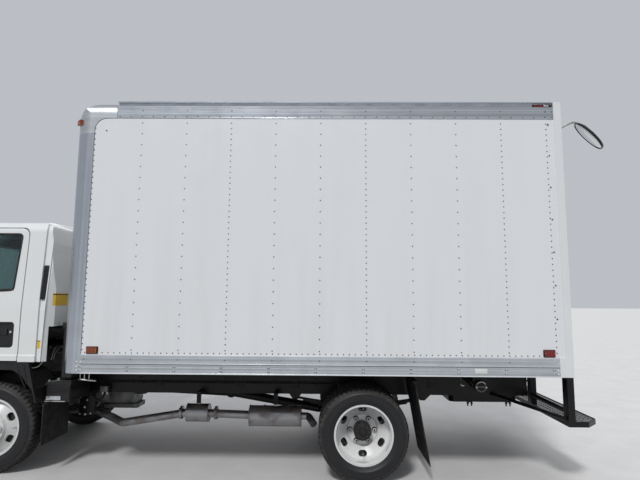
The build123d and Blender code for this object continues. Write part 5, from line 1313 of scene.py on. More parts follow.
def engine_bay_pipes():
    """Coolant and air pipes, a hydraulic reservoir and clamps that show between the cab and the box."""
    pieces = []
    for y, z, lift in ((-190, 985, 0), (-120, 1040, 20), (90, 1010, -10)):
        path = [(440, y, z), (500, y, z + 10), (560, y - 30, z + lift), (600, y - 120, z - 90),
                (610, y - 210, z - 190 + lift), (590, y - 240, 812)]
        pieces.append(tube("hose", "rubber", path, 21))
        pieces.append(bar("clamp", "zinc", (478, y, z + 5), (492, y, z + 8), 24, 24))
    for n, (y, z) in enumerate(((-240, 1000), (-262, 960), (-284, 925))):
        path = [(380, y + 20, z + 60), (470, y, z + 40), (540, y, z - 40 * n), (560, y - 60, 880),
                (540, y - 100, 812)]
        pieces.append(tube("line", "zinc" if n == 1 else "rubber", path, 7))
    tank = bar("reservoir", "clear_plastic", (575, -560, 905), (575, -560, 1035), 62, 32, 14)
    cap = bar("cap", "plastic", (575, -560, 1035), (575, -560, 1060), 26, 16, 4)
    stand = slab("stand", "chassis", (540, 610), (-600, -420), (895, 905), 2)
    leg = slab("leg", "chassis", (560, 590), (-440, -420), (700, 900), 2)
    bolts = [bolt((470, y, z), (484, y, z), 11, round_by=1.5)
             for y, z in ((-210, 900), (-60, 1060), (60, 880), (170, 1040), (-150, 760))]
    return joined("engine_bay_pipes", *pieces, tank, cap, stand, leg, *bolts)


def brake_lines():
    """Steel and rubber lines along the left rail, in clips, with a valve block near the front."""
    pieces = []
    for n, z in enumerate((742, 728)):
        path = [(620, -431, z + 20), (700, -433, z), (1500, -433, z), (2400, -433, z), (3150, -433, z),
                (3200, -433, z - 10)]
        pieces.append(tube("line", "chassis" if n else "rubber", path, 5))
    clips = row(slab("clip", "chassis", (760, 774), (-441, -424), (720, 752), 2), 9, (290, 0, 0))
    valve = slab("valve", "alloy", (770, 850), (-500, -424), (640, 700), 8, 3)
    caps = [bar("cap", "zinc", (x, -462, 638), (x, -462, 612), 13, 6, 2) for x in (788, 832)]
    path = [(810, -470, 632), (812, -480, 590), (770, -510, 560), (700, -470, 590), (655, -440, 650)]
    drop = tube("line", "rubber", path, 8)
    return joined("brake_lines", *pieces, clips, valve, *caps, drop)


ride(frame_bolts(), "chassis")
ride(body_clamps(), "chassis")
ride(spring_clamps(), "chassis")
ride(shock_absorbers(), "chassis")
ride(exhaust_fittings(), "chassis")
ride(tank_fittings(), "chassis")
ride(blank_rail_label(), "chassis")
ride(battery_fittings(), "chassis")
ride(engine_bay_pipes(), "chassis")
ride(brake_lines(), "chassis")


# Box: rear door, lamps, step, roof, front wall and the backup mirror

def faced_head(way, place, radius=6.2, height=3.2, finish="rivet"):
    """A rivet or bolt head that looks up, forwards or backwards."""
    degrees, axis = {"up": (-90, "X"), "front": (-90, "Z"), "back": (90, "Z")}[way]
    return turned(rivet_head("head", place, radius, height, finish), place, degrees, axis)


def roof_rivets():
    """Rivets along the roof's four edges, and over the front wall's posts and its upper and lower edge."""
    pieces = []
    pieces.append(both(row(faced_head("up", (1150, -1196, ROOF_Z)), 78, (50.4, 0, 0))))
    for x in (1132, 5062):
        pieces.append(row(faced_head("up", (x, -1150, ROOF_Z)), 24, (0, 100, 0)))
    for n in range(-2, 3):
        head = faced_head("front", (FRONT_WALL_X, n * POST_PITCH, 1130))
        pieces.append(row(head, 38, (0, 0, RIVET_STEP)))
    for z in (1040, 3058):
        pieces.append(row(faced_head("front", (FRONT_WALL_X, -990, z)), 40, (0, RIVET_STEP, 0)))
    return joined("roof_rivets", *pieces)


def roof_seams():
    """Seam strips across the roof, sealant along its edges and a strip under the front header."""
    def crowned(x, y0, y1):
        return [(x, y0 + (y1 - y0) * n / 12,
                 surface("box_roof", (x, y0 + (y1 - y0) * n / 12, 3600), (0, 0, -1))[2] - 2.4)
                for n in range(13)]
    seams = [tube("roof_seams", "sealant", crowned(x, -1165, 1165), 2.4) for x in (1114, 5074)]
    for y in (-1173, 1173):
        seams.append(tube("seam", "sealant", [(1116, y, ROOF_Z), (3000, y, ROOF_Z), (5070, y, ROOF_Z)], 3))
    seams.append(slab("strip", "rail_metal", (719, 724), (-1066, 1066), (3066, 3080), 1.5))
    seams.append(slab("strip", "rail_metal", (718.5, 724), (-1066, 1066), (1012, 1056), 1.5))
    return joined("roof_seams", *seams)


REAR_X_FACE = 5144
DOOR_FACE_X = 5123
DECK_Z = 1046
DOOR_TOP_Z = 3209
SLAT_H = (DOOR_TOP_Z - DECK_Z) / 6
DOOR_HALF = 1128


def rear_door_fittings():
    """Bolt heads of the hinges between the slats, seals, the latch and handle, and the keeper on the sill."""
    pieces = []
    for y in (-1060, -710, -355, 0, 355, 710, 1060):
        head = faced_head("back", (DOOR_FACE_X, y, DECK_Z + SLAT_H + 29), 8, 3.5, "zinc")
        heads = copied(head, [(0, 26, 0), (0, 0, -58), (0, 26, -58)])
        pieces.append(row(heads, 5, (0, 0, SLAT_H)))
    for y in (-DOOR_HALF + 1, DOOR_HALF - 13):
        pieces.append(slab("seal", "rubber", (DOOR_FACE_X - 3, DOOR_FACE_X + 9), (y, y + 12),
                           (DECK_Z, DOOR_TOP_Z), 3))
    pieces.append(slab("seal", "rubber", (DOOR_FACE_X - 3, DOOR_FACE_X + 6), (-DOOR_HALF, DOOR_HALF),
                       (DECK_Z, DECK_Z + 16), 3))
    pieces.append(slab("seal", "rubber", (DOOR_FACE_X - 3, DOOR_FACE_X + 6), (-DOOR_HALF, DOOR_HALF),
                       (DOOR_TOP_Z - 16, DOOR_TOP_Z), 3))
    plate_x = DOOR_FACE_X + 14
    arm = slab("latch", "zinc", (plate_x, plate_x + 8), (-48, 40), (1128, 1156), 3, 3)
    grip = tube("grip", "zinc", [(plate_x + 4, 34, 1142), (plate_x + 5, 80, 1142),
                                 (plate_x + 5, 120, 1138)], 7)
    pivot = bar("pivot", "zinc", (plate_x, -8, 1142), (plate_x + 14, -8, 1142), 17, 24, 3)
    hook = [(-24, 1140), (-46, 1140), (-46, 1070), (-6, 1052), (-6, 1070), (-24, 1084)]
    hook = plate("hook", "zinc", [(plate_x, y, z) for y, z in rounded(hook, 4, 3)], (7, 0, 0), 1)
    keeper = slab("keeper", "zinc", (DOOR_FACE_X + 10, REAR_X_FACE + 6), (-56, 16), (1040, 1052), 3)
    lip = [slab("lip", "zinc", (DOOR_FACE_X, plate_x + 1), (y, y + 6), (1100, 1192), 2) for y in (-66, 60)]
    pieces += [arm, grip, pivot, hook, keeper, *lip]
    for y in (-700, 700):
        pull = [(DOOR_FACE_X + out, y + across, 1120)
                for out, across in ((0, -70), (18, -66), (18, 66), (0, 70))]
        pieces.append(tube("pull", "zinc", pull, 7))
        for foot_y in (y - 72, y + 72):
            pieces.append(slab("foot", "zinc", (DOOR_FACE_X - 1, DOOR_FACE_X + 4),
                               (foot_y - 20, foot_y + 20), (1104, 1136), 2))
    return joined("rear_door_fittings", *pieces)


def rear_frame_fittings():
    """Side bolts, drip rail, lamp rims, a blank plate with its lamp, and the sill's edge."""
    x = REAR_X_FACE
    pieces = [slab("drip_rail", "door_white", (x, x + 20), (-1160, 1160), (3222, 3228), 2),
              slab("sill_edge", "rail_metal", (x - 20, x + 5), (-1128, 1128), (DECK_Z - 22, DECK_Z + 2), 2)]
    for y in (1090.2, 900.2):
        place = (x, -y, 985)
        rim = spun("rim", "rubber", [(-1, 50), (-1, 66), (6, 66), (11, 60), (11, 51)], place, "X", 40)
        glint = [(20, 0), (20, 34), (21.5, 36), (21.5, 46), (18, 50)]
        glint = spun("reflector", "red", glint, place, "X", 40)
        pieces.append(both(joined("rim", rim, glint)))
    for y in (-180, 0, 180):
        pieces.append(slab("rim", "plastic", (x, x + 9), (y - 52, y + 52), (3268, 3312), 4))
    for y in (-1180, 1180):
        pieces.append(row(faced_head("back", (x, y, 1110), 8.5, 4, "door_white"), 8, (0, 0, 290)))
    blank = slab("plate", "label_white", (x - 4, x - 1), (495, 800), (772, 925), 1)
    holder = slab("holder", "plastic", (x - 12, x - 4), (483, 812), (764, 934), 3)
    stay = [slab("stay", "chassis", (x - 16, x - 10), (y - 14, y + 14), (900, 950), 2) for y in (535, 760)]
    lamp = slab("lamp", "plastic", (x - 6, x + 22), (605, 690), (928, 946), 5, 3)
    screws = [faced_head("back", (x - 1, y, 914), 5, 2.5, "zinc") for y in (535, 760)]
    pieces += [blank, holder, lamp, *stay, *screws]
    return joined("rear_frame_fittings", *pieces)


def step_treads():
    """Punched grip buttons on the step's top, its folded rim and the bolts of its posts."""
    half, rear = SIDE_Y, 5363
    pieces = []
    for n in range(5):
        first, count = (-half + 70, 47) if n < 3 else (-half + 145, 44)
        button = spun("button", "chassis", [(0, 9), (5, 6.5), (5, 4), (0, 3.4)],
                      (5130 + 46 * n, first, 562.6), "Z", 8)
        pieces.append(row(button, count, (0, 49, 0)))
    lip = [(5080, -half + 6, 566), (rear - 122, -half + 6, 566), (rear - 6, -half + 123, 566),
           (rear - 6, half - 123, 566), (rear - 122, half - 6, 566), (5080, half - 6, 566)]
    for start, end in zip(lip, lip[1:]):
        pieces.append(bar("lip", "chassis", start, end, 5, 10))
    for y in (-1175, -425, 425, 1175):
        for z in (880, 905):
            pieces += [bolt((5134, y + side, z), (5143, y + side, z), 9.5) for side in (18, -18)]
    return joined("step_treads", *pieces)


def aimed(piece, centre, looks):
    """A piece made upright about the frame's zero point, put at a place with its top looking some way."""
    turn = looks.to_track_quat("Z", "Y").to_matrix().to_4x4()
    piece.matrix_world = Matrix.Translation(at(*centre)) @ turn @ Matrix.Translation(at(0, 0, 0)).inverted()
    return settled(piece)


def backup_mirror():
    """A thin round mirror with a silvered convex face in a black rim, on a bent bright arm."""
    centre, looks = Vector((5420, -1150, 3076)), Vector((-0.68, 0.35, -0.645)).normalized()
    back = spun("back", "gloss_plastic", [(-8, 150), (2, 152), (8, 157), (9, 162), (4, 165), (-10, 164),
                                          (-16, 158), (-28, 90), (-32, 0)], (0, 0, 0), "Z", 56)
    face = [(-6, 154), (3, 153), (9, 130), (14, 90), (17, 45), (18, 0)]
    face = spun("face", "mirror", face, (0, 0, 0), "Z", 56)
    head = aimed(joined("head", back, face), centre, looks)
    top = centre - looks * 30 + Vector((-30, 0, 60))
    arm = [(5150, -1150, 3140), (5178, -1150, 3156), (5262, -1150, 3202), (5300, -1150, 3208), tuple(top),
           tuple(centre - looks * 30)]
    pieces = [head, tube("arm", "zinc", arm, 12.5),
              slab("foot", "zinc", (5144, 5152), (-1185, -1115), (3100, 3180), 6, 3)]
    pieces += [bolt((5150, y, z), (5157, y, z), 7) for y in (-1170, -1130) for z in (3115, 3165)]
    ball = spun("ball", "zinc", [(-52, 0), (-50, 14), (-44, 22), (-36, 24), (-28, 24), (-28, 0)],
                (0, 0, 0), "Z", 24)
    pieces.append(aimed(ball, centre, looks))
    return joined("backup_mirror_glass", *pieces)


ride(roof_rivets(), "chassis")
ride(roof_seams(), "chassis")
ride(rear_door_fittings(), "chassis")
ride(rear_frame_fittings(), "chassis")
ride(step_treads(), "chassis")
ride(backup_mirror(), "chassis", instead_of=["backup_mirror"])


# Cab front: window rubber, wipers, lamps, the plain front panel, and the bumper's lamps and blank plate

NOSE_X = -1183
NOSE_BOW_R = 9485.7
# Depth of the round corner behind the nose, its centre's place across, and its radius
NOSE_CORNER = (263.8, 790, 230)
WINDSHIELD_SLOPE = 243 / 850
WINDSHIELD = [(-900, 560), (900, 560), (862, 1360), (-862, 1360)]
REAR_WINDOW = [(-480, 865), (480, 865), (480, 1225), (-480, 1225)]


def nose_x(y, z, front=NOSE_X):
    """How far forward the cab's front stands at a place across it and a height."""
    front += max(0, z - 525) * WINDSHIELD_SLOPE
    depth, corner_y, radius = NOSE_CORNER
    if abs(y) < 812:
        return front + y * y / 2 / NOSE_BOW_R
    return front + depth - math.sqrt(max(0, radius * radius - (abs(y) - corner_y) ** 2))


def finer(points, parts=14):
    """An outline with its edges over 150 mm divided."""
    found = []
    for here, after in zip(points, points[1:] + points[:1]):
        count = parts if math.dist(here, after) > 150 else 1
        found += [tuple(Vector(here).lerp(after, n / count)) for n in range(count)]
    return found


def on_front(points, back):
    """Points across and up, laid on the cab's front and moved back by some millimetres."""
    return [(nose_x(y, z) + back, y, z + CAB_Z) for y, z in points]


def window_rubber():
    """Rubber round the windshield and the rear window."""
    outer = finer(rounded(inset(WINDSHIELD, -16), 84))
    inner = finer(rounded(inset(WINDSHIELD, 15), 58))
    front = band("window_rubber", "rubber", on_front(outer, -2.5), on_front(inner, -2.5), (13, 0, 0))

    def on_back(points):
        return [(530 - 78 * (z - 835) / 664 + 3, y, z + CAB_Z) for y, z in points]

    outer = finer(rounded(inset(REAR_WINDOW, -14), 62), 6)
    inner = finer(rounded(inset(REAR_WINDOW, 14), 38), 6)
    back = band("rubber", "rubber", on_back(outer), on_back(inner), (-13, 0, 0))
    return joined("window_rubber", front, back)


def wiper(pivot, middle, ends):
    """An arm from its pivot to a blade that lies on the glass."""
    pieces = []
    y, z = pivot
    x = nose_x(y, z)
    hub = [(8, 17), (-4, 17), (-12, 13), (-15, 0)]
    pieces.append(spun("pivot", "plastic", hub, (x, y, z + CAB_Z), "X", 20))
    line = [(y, z), (y + (middle[0] - y) * 0.25, z + 22), ((y + middle[0]) / 2, (z + middle[1]) / 2 + 14),
            middle]
    line = [(a - (15 if n else 8), b, c) for n, (a, b, c) in enumerate(on_front(line, 0))]
    pieces.append(tube("arm", "plastic", line, 6))
    blade = [tuple(Vector(ends[0]).lerp(ends[1], n / 8)) for n in range(9)]
    pieces.append(tube("spine", "plastic", on_front(blade, -8), 4.5))
    pieces.append(tube("lip", "rubber", on_front(blade, 4), 5))
    for part in (1, 3, 5, 7):
        a, b = on_front([blade[part]], -10)[0], on_front([blade[part]], 3)[0]
        pieces.append(bar("claw", "plastic", a, b, 5, 8))
    return joined("wiper", *pieces)


def wipers():
    """Two wipers that park on the lower edge of the windshield."""
    left = wiper((-640, 528), (-320, 604), ((-610, 596), (-40, 618)))
    right = wiper((60, 528), (370, 604), ((90, 596), (660, 618)))
    return joined("wipers", left, right)


def corner_line(back, z):
    """A level line round the left front corner, inside the cab's skin by some millimetres."""
    depth, corner_y, radius = NOSE_CORNER
    points = [(NOSE_X + back + y * y / 2 / NOSE_BOW_R, -y, z + CAB_Z) for y in (600, 650, 700, 750, 790)]
    for degrees in (10, 22, 34, 46, 58, 66):
        a = math.radians(degrees)
        points.append((NOSE_X + depth - (radius - back) * math.cos(a),
                       -corner_y - (radius - back) * math.sin(a),
                       z + CAB_Z))
    return points


def headlamp_insides():
    """Dark housing, two chromed bowls with bulbs, and an amber turn lamp round the corner, behind glass."""
    low, high = corner_line(40, -58), corner_line(40, 84)
    low = [(x, y, z + n * 3) for n, (x, y, z) in enumerate(low)]
    high = [(x, y, z + n * 4) for n, (x, y, z) in enumerate(high)]
    pieces = [ribbon("housing", "gloss_plastic", low, high, 3)]
    for y, radius in ((-660, 57), (-782, 54)):
        x, z = nose_x(y, 0), CAB_Z + 14
        bowl = [(9, radius), (14, radius * 0.97), (22, radius * 0.82), (30, radius * 0.6),
                (36, radius * 0.3), (37, 0)]
        pieces.append(spun("bowl", "mirror", bowl, (x, y, z), "X", 40))
        ring = [(6, radius), (6, radius + 5), (12, radius + 5), (12, radius)]
        pieces.append(spun("ring", "mirror", ring, (x, y, z), "X", 40))
        pieces.append(spun("bulb", "zinc", [(36, 11), (22, 11), (16, 9), (14, 0)], (x, y, z), "X", 20))
    low, high = corner_line(16, -34)[6:], corner_line(16, 100)[6:]
    pieces.append(ribbon("turn_lamp", "amber", low, high, 7))
    return both(joined("headlamp_insides", *pieces))


def front_panel():
    """The seam round the front panel, its two catches and the grille's mesh."""
    panel = [(-565, 205), (565, 205), (585, 495), (-585, 495)]
    outer, inner = finer(rounded(panel, 30)), finer(rounded(inset(panel, 4.5), 26))
    pieces = [band("front_panel", "sealant", on_front(outer, -0.6), on_front(inner, -0.6), (1.6, 0, 0))]
    for y in (-500, 500):
        x = nose_x(y, 300)
        pieces.append(slab("catch", "plastic", (x - 3, x + 3), (y - 16, y + 16),
                           (CAB_Z + 466, CAB_Z + 484), 2))
    for n in range(4):
        z = CAB_Z - 34 + 55 * n
        bars = slab("mesh", "plastic", (NOSE_X + 25, NOSE_X + 31), (-478, -475), (z - 16, z + 16))
        pieces.append(row(bars, 49, (0, 19.9, 0)))
    return joined("front_panel", *pieces)


def bumper_fittings():
    """Round lamps in the bumper, its bolts, towing eyes and a blank plate on a bracket in its opening."""
    pieces = []
    for y in (-690, 690):
        x, z = nose_x(y, 0, -1217), 455
        rim = [(16, 47.5), (4, 47.5), (1, 44), (6, 39), (16, 39)]
        bowl = [(12, 39), (18, 33), (26, 18), (28, 0)]
        glass = [(12, 39), (10, 39), (5, 28), (3, 0), (6, 0), (9, 28), (12, 39)]
        shell = [(14, 47), (34, 40), (44, 22), (46, 0)]
        for name, finish, profile, steps in (("rim", "plastic", rim, 40), ("bowl", "mirror", bowl, 40),
                                             ("lens", "clear", glass, 40), ("shell", "plastic", shell, 32)):
            pieces.append(spun(name, finish, profile, (x, y, z), "X", steps))
        pieces += [bolt((x - 2, y + side, 588), (x + 4, y + side, 588)) for side in (-60, 60)]
    pieces.append(slab("bracket", "plastic", (-1209, -1204), (-160, 160), (394, 516), 6, 3))
    pieces.append(slab("plate", "label_white", (-1214, -1209), (-152.5, 152.5), (398, 512), 2))
    pieces += [bar("screw", "zinc", (-1216, y, 500), (-1212, y, 500), 6, 16, 1) for y in (-89, 89)]
    for y in (-330, 330):
        eye = tube("eye", "chassis", [(-1150, y - 24, 358), (-1196, y - 24, 358), (-1206, y, 358),
                                      (-1196, y + 24, 358), (-1150, y + 24, 358)], 8)
        pieces.append(eye)
    return joined("bumper_fittings", *pieces)


ride(window_rubber(), "cab")
ride(wipers(), "cab")
ride(headlamp_insides(), "cab")
ride(front_panel(), "cab")
ride(bumper_fittings(), "chassis")


# Cab inside: dials, vents, controls, pedals, visors and door cards

def dial(y, radius):
    """A round instrument: dark face, pale ring with plain marks and a needle."""
    x, z = -889, CAB_Z + 566
    face = spun("face", "gloss_plastic", [(0, 0), (0, radius), (5, radius + 3), (7, radius + 2),
                                          (7, radius - 3), (2, radius - 4)], (x, y, z), "X", 40)
    mark = slab("mark", "label_white", (x + 1, x + 2.5), (y - 1, y + 1), (z + radius - 14, z + radius - 7))
    marks = ringed(mark, 24, (x, y, z), "X")
    needle = plate("needle", "red", [(x + 3, y - 2, z - 8), (x + 3, y + 2, z - 8),
                                     (x + 3, y, z + radius - 14)], (1, 0, 0))
    cap = spun("cap", "plastic", [(0, 6), (5, 6), (6, 4), (6, 0)], (x + 1, y, z), "X", 16)
    return turned(joined("dial", face, marks, turned(needle, (x, y, z), 60, "X"), cap), (x, y, z), -9, "Y")


def dashboard_trim():
    """Two dials, four louvred vents, a centre panel with knobs and slots, and a glove box lid."""
    pieces = [dial(-612, 52), dial(-470, 52), dial(-541, 17)]
    low = 385
    face = CAB_Z + low
    for y in (-860, -330, 90, 780):
        pieces.append(slab("vent", "gloss_plastic", (-908, -896), (y - 62, y + 62), (face + 28, face + 96),
                           8, 3))
        slat = slab("slat", "plastic", (-899, -891), (y - 52, y + 52), (face + 36, face + 40), 1)
        pieces.append(row(slat, 5, (0, 0, 12)))
    pieces.append(slab("panel", "gloss_plastic", (-908, -897), (-250, 10), (face + 4, face + 96), 6, 3))
    pieces.append(slab("slot", "plastic", (-899, -893), (-205, -35), (face + 56, face + 88), 3))
    for y in (-200, -120, -40):
        pieces.append(spun("knob", "plastic", [(0, 19), (12, 17), (16, 15), (16, 0)], (-898, y, face + 28),
                           "X", 28))
    lid = [(200, low + 12), (640, low + 12), (640, low + 92), (200, low + 92)]
    outer = seen_from_front(rounded(lid, 12), -903)
    inner = seen_from_front(rounded(inset(lid, 4), 9), -903)
    pieces.append(band("lid", "plastic", outer, inner, (7, 0, 0)))
    pieces.append(slab("catch", "plastic", (-899, -892), (385, 455), (face + 66, face + 82), 4, 3))
    return joined("dashboard_trim", *pieces)


def driving_controls():
    """Column shroud and stalks, gear lever with its boot, and three pedals."""
    wheel_y = -530
    pieces = [tube("stalk", "plastic", [(-800, wheel_y, CAB_Z + 512),
                                        (-790, wheel_y + side * 90, CAB_Z + 530),
                                        (-784, wheel_y + side * 175, CAB_Z + 545)], 8) for side in (-1, 1)]
    column = ((-872, wheel_y, CAB_Z + 415), (-778, wheel_y, CAB_Z + 540))
    shroud = bar("shroud", "plastic", *column, 46, 28, 10)
    folds = [(0, 70), (10, 66), (16, 52), (26, 58), (32, 42), (42, 46), (50, 28), (70, 14), (72, 0)]
    boot = spun("boot", "rubber", folds, (-640, -235, CAB_Z + 113), "Z", 28)
    bend = [(-640, 170), (-640, 330), (-600, 500), (-585, 560)]
    lever = tube("lever", "plastic", seen_from_side(bend, -235), 8)
    knob = spun("knob", "gloss_plastic", [(0, 0), (2, 14), (20, 25), (44, 26), (60, 18), (64, 0)],
                (-585, -235, CAB_Z + 550), "Z", 28)
    pieces += [shroud, boot, lever, knob]
    for y, width in ((-690, 30), (-560, 34), (-420, 26)):
        pad = slab("pad", "rubber", (-1004, -990), (y - width, y + width), (CAB_Z + 190, CAB_Z + 262), 5, 3)
        rib = slab("rib", "rubber", (-992, -986), (y - width + 6, y + width - 6),
                   (CAB_Z + 198, CAB_Z + 203), 1)
        ribs = row(rib, 6, (0, 0, 10.5))
        arm = tube("arm", "chassis", [(-1004, y, CAB_Z + 240), (-1030, y, CAB_Z + 300),
                                      (-1040, y, CAB_Z + 360)], 8)
        pieces += [turned(joined("pedal", pad, ribs), (-1000, y, CAB_Z + 230), 18, "Y"), arm]
    return joined("driving_controls", *pieces)


def visors():
    """Padded sun visors folded under the front of the roof."""
    outline = [(-868, 1382), (-742, 1445), (-737, 1435), (-863, 1371)]
    return both(plate("visors", "cab_plastic", seen_from_side(outline, -790), (0, 480, 0), 4, 3))


def door_card():
    """The trim inside the left door: moulded panel, armrest, pull, crank, latch lever and speaker."""
    y = -950
    outline = rounded([(-852, 84), (-478, 84), (-346, 232), (212, 232), (212, 520), (-852, 520)], 22)
    panel = plate("card", "cab_plastic", seen_from_side(outline, y), (0, 7, 0), 3)
    rest = slab("rest", "plastic", (-420, 60), (y + 4, y + 52), (CAB_Z + 330, CAB_Z + 372), 12, 4)
    pocket = [(-800, 110), (-520, 110), (-420, 226), (-430, 250), (-800, 250)]
    outer = seen_from_side(rounded(pocket, 18), y + 6)
    inner = seen_from_side(rounded(inset(pocket, 10), 10), y + 6)
    lip = band("pocket", "plastic", outer, inner, (0, 14, 0), 2)
    speaker = spun("speaker", "plastic", [(4, 0), (12, 60), (16, 78), (12, 84), (4, 86)],
                   (-680, y, CAB_Z + 350), "Y", 36)
    crank = [spun("hub", "plastic", [(5, 18), (24, 14), (26, 0)], (-240, y, CAB_Z + 440), "Y", 24),
             tube("crank", "zinc", [(-240, y + 20, CAB_Z + 440), (-200, y + 30, CAB_Z + 446),
                                    (-150, y + 34, CAB_Z + 452)], 6),
             bar("knob", "plastic", (-150, y + 30, CAB_Z + 452), (-150, y + 58, CAB_Z + 452), 11, 20, 4)]
    lever = slab("lever", "zinc", (40, 130), (y + 5, y + 18), (CAB_Z + 430, CAB_Z + 452), 5, 3)
    return joined("left_door_card", panel, rest, lip, speaker, lever, *crank)


ride(dashboard_trim(), "cab")
ride(driving_controls(), "cab")
ride(visors(), "cab")
ride_each_side(door_card(), "left_door")


# Seats: padded cushions, backs and headrests, filled by a cloth simulation

SEATS = {"driver": (-775, -285), "middle": (-60, 330), "passenger": (345, 790)}
CUSHION = [(-390, 386), (90, 386), (90, 505), (-390, 505)]
SEAT_BACK = [(58, 508), (172, 508), (290, 1095), (200, 1115)]
HEADREST = [(210, 1080), (285, 1080), (305, 1275), (240, 1275)]
CUSHION_START = [(-376, 388), (76, 388), (76, 483), (-376, 487)]
VOXEL = 0.012
SWELL = 20
HEADREST_SWELL = 12
CLOTH_FRAMES = 20


def kept_inside(pad, outline, ends):
    """Puts points that stand outside a convex outline in X and height, or past its ends, back onto it."""
    corners = [Vector((x, z + CAB_Z)) for x, z in outline]
    origin = at(0, 0, 0)
    for vertex in pad.data.vertices:
        x, y, z = (vertex.co - origin) * 1000
        here = Vector((x, z))
        for start, end in zip(corners, corners[1:] + corners[:1]):
            along = (end - start).normalized()
            outside = (here - start).dot(Vector((along.y, -along.x)))
            if outside > 0:
                here -= Vector((along.y, -along.x)) * outside
        vertex.co = at(here.x, min(max(y, ends[0]), ends[1]), here.y)


def filled(pad, cap):
    """Fills a pad with air as cloth, each of its points moving by at most cap millimetres."""
    before = [vertex.co.copy() for vertex in pad.data.vertices]
    pick(pad)
    cloth = pad.modifiers.new("stuffing", "CLOTH")
    cloth.settings.use_pressure = True
    cloth.settings.uniform_pressure_force = 4
    cloth.settings.effector_weights.gravity = 0
    cloth.point_cache.frame_end = CLOTH_FRAMES
    for n in range(1, CLOTH_FRAMES + 1):
        bpy.context.scene.frame_set(n)
    bpy.ops.object.modifier_apply(modifier=cloth.name)
    bpy.context.scene.frame_set(1)
    for vertex, start in zip(pad.data.vertices, before):
        move = vertex.co - start
        if move.length > cap / 1000:
            vertex.co = start + move.normalized() * cap / 1000


def sewn(pad, facing, lengthwise, crosswise):
    """Presses stitched channels into one side of a pad, and lays woven cloth between the lengthwise ones."""
    along = facing.cross(Vector((0, 1, 0)))
    origin = at(0, 0, 0)
    near, far = lengthwise
    for vertex in pad.data.vertices:
        if vertex.normal.dot(facing) < 0.3:
            continue
        place = (vertex.co - origin) * 1000
        gaps = [place.y - near, place.y - far]
        if near < place.y < far:
            gaps += [abs(place.dot(along)) - line for line in crosswise]
        dip = max(math.exp(-(gap / 7) ** 2) for gap in gaps)
        vertex.co -= facing * dip * 0.007
    pad.data.materials.append(MATERIALS["vinyl"])
    for face in pad.data.polygons:
        y = 1000 * face.center.y
        if not (face.normal.dot(facing) > 0.3 and near < y < far):
            face.material_index = 1


def piping(pad, place, way):
    """A sewn cord round a pad, where a plane cuts it."""
    ring = duplicate(pad)
    bpy.ops.object.mode_set(mode="EDIT")
    bpy.ops.mesh.select_all(action="SELECT")
    bpy.ops.mesh.bisect(plane_co=at(*place), plane_no=way, clear_inner=True, clear_outer=True)
    bpy.ops.object.mode_set(mode="OBJECT")
    bpy.ops.object.convert(target="CURVE")
    ring.data.bevel_depth = 0.0032
    ring.data.bevel_resolution = 1
    bpy.ops.object.convert(target="MESH")
    return smooth(settle("piping", "vinyl"), 60)


def pad(name, outline, ends, start, cap, fill):
    """A padded piece in its CAD outline: a smaller block, remeshed, filled and smoothed."""
    low, high = ends
    side = 14
    made = plate(name, "cloth", seen_from_side(start, low + side), (0, high - low - 2 * side, 0), 22, 3)
    modify(made, "REMESH", mode="VOXEL", voxel_size=VOXEL)
    filled(made, cap)
    modify(made, "SUBSURF", levels=1, render_levels=1)
    kept_inside(made, outline, ends)
    smooth(made, 180)
    ride(made, "cab", ["cab_seats"])
    return made


def seats():
    """The padded pieces of three seats, their piping, posts, hinges, buckles and a lever."""
    cords, metal = [], []
    foot, top = SEAT_BACK[0], SEAT_BACK[-1]
    slope = (Vector(top) - Vector(foot)).normalized()
    forward = Vector((-slope.y, 0, slope.x))
    for name, (low, high) in SEATS.items():
        middle, half = (low + high) / 2, (high - low) / 2
        channels = (middle - 0.56 * half, middle + 0.56 * half)
        cushion = pad(f"{name}_cushion", CUSHION, (low, high), CUSHION_START, SWELL, 0.8)
        sewn(cushion, Vector((0, 0, 1)), channels, (10, 130, 250))
        cords.append(piping(cushion, (0, 0, CAB_Z + 470), (0, 0, 1)))
        cords.append(piping(cushion, (0, 0, CAB_Z + 412), (0, 0, 1)))
        back = pad(f"{name}_back", SEAT_BACK, (low + 10, high - 10), inset(SEAT_BACK, 15), SWELL, 0.8)
        sewn(back, forward, channels, [1331 + 150 * n for n in range(4)])
        for gap in (22, 76):
            place = (foot[0] + gap * slope.y, 0, CAB_Z + foot[1] - gap * slope.x)
            cords.append(piping(back, place, forward))
        rest = pad(f"{name}_headrest", HEADREST, (middle - 120, middle + 120), inset(HEADREST, 11),
                   HEADREST_SWELL, 0.9)
        sewn(rest, forward, (middle - 70, middle + 70), ())
        cords.append(piping(rest, (258, 0, CAB_Z + 1180), forward))
        for y in (middle - 55, middle + 55):
            metal.append(bar("post", "zinc", (246, y, CAB_Z + 1062), (252, y, CAB_Z + 1130), 6.5, 16))
        metal.append(slab("hinge", "plastic", (58, 122), (low + 1, low + 13), (CAB_Z + 440, CAB_Z + 560),
                          8, 3))
        metal.append(slab("buckle", "plastic", (20, 62), (high - 6, high + 6), (CAB_Z + 500, CAB_Z + 560),
                          4, 3))
        metal.append(slab("button", "red", (28, 54), (high - 4, high + 4), (CAB_Z + 556, CAB_Z + 564), 2))
    metal.append(tube("lever", "plastic", [(60, -782, CAB_Z + 430), (0, -790, CAB_Z + 436),
                                           (-60, -790, CAB_Z + 432)], 8))
    ride(joined("seat_piping", *cords), "cab")
    ride(joined("seat_fittings", *metal), "cab")


seats()


# Small parts between the cab and the box, on the spring hangers and on the engine

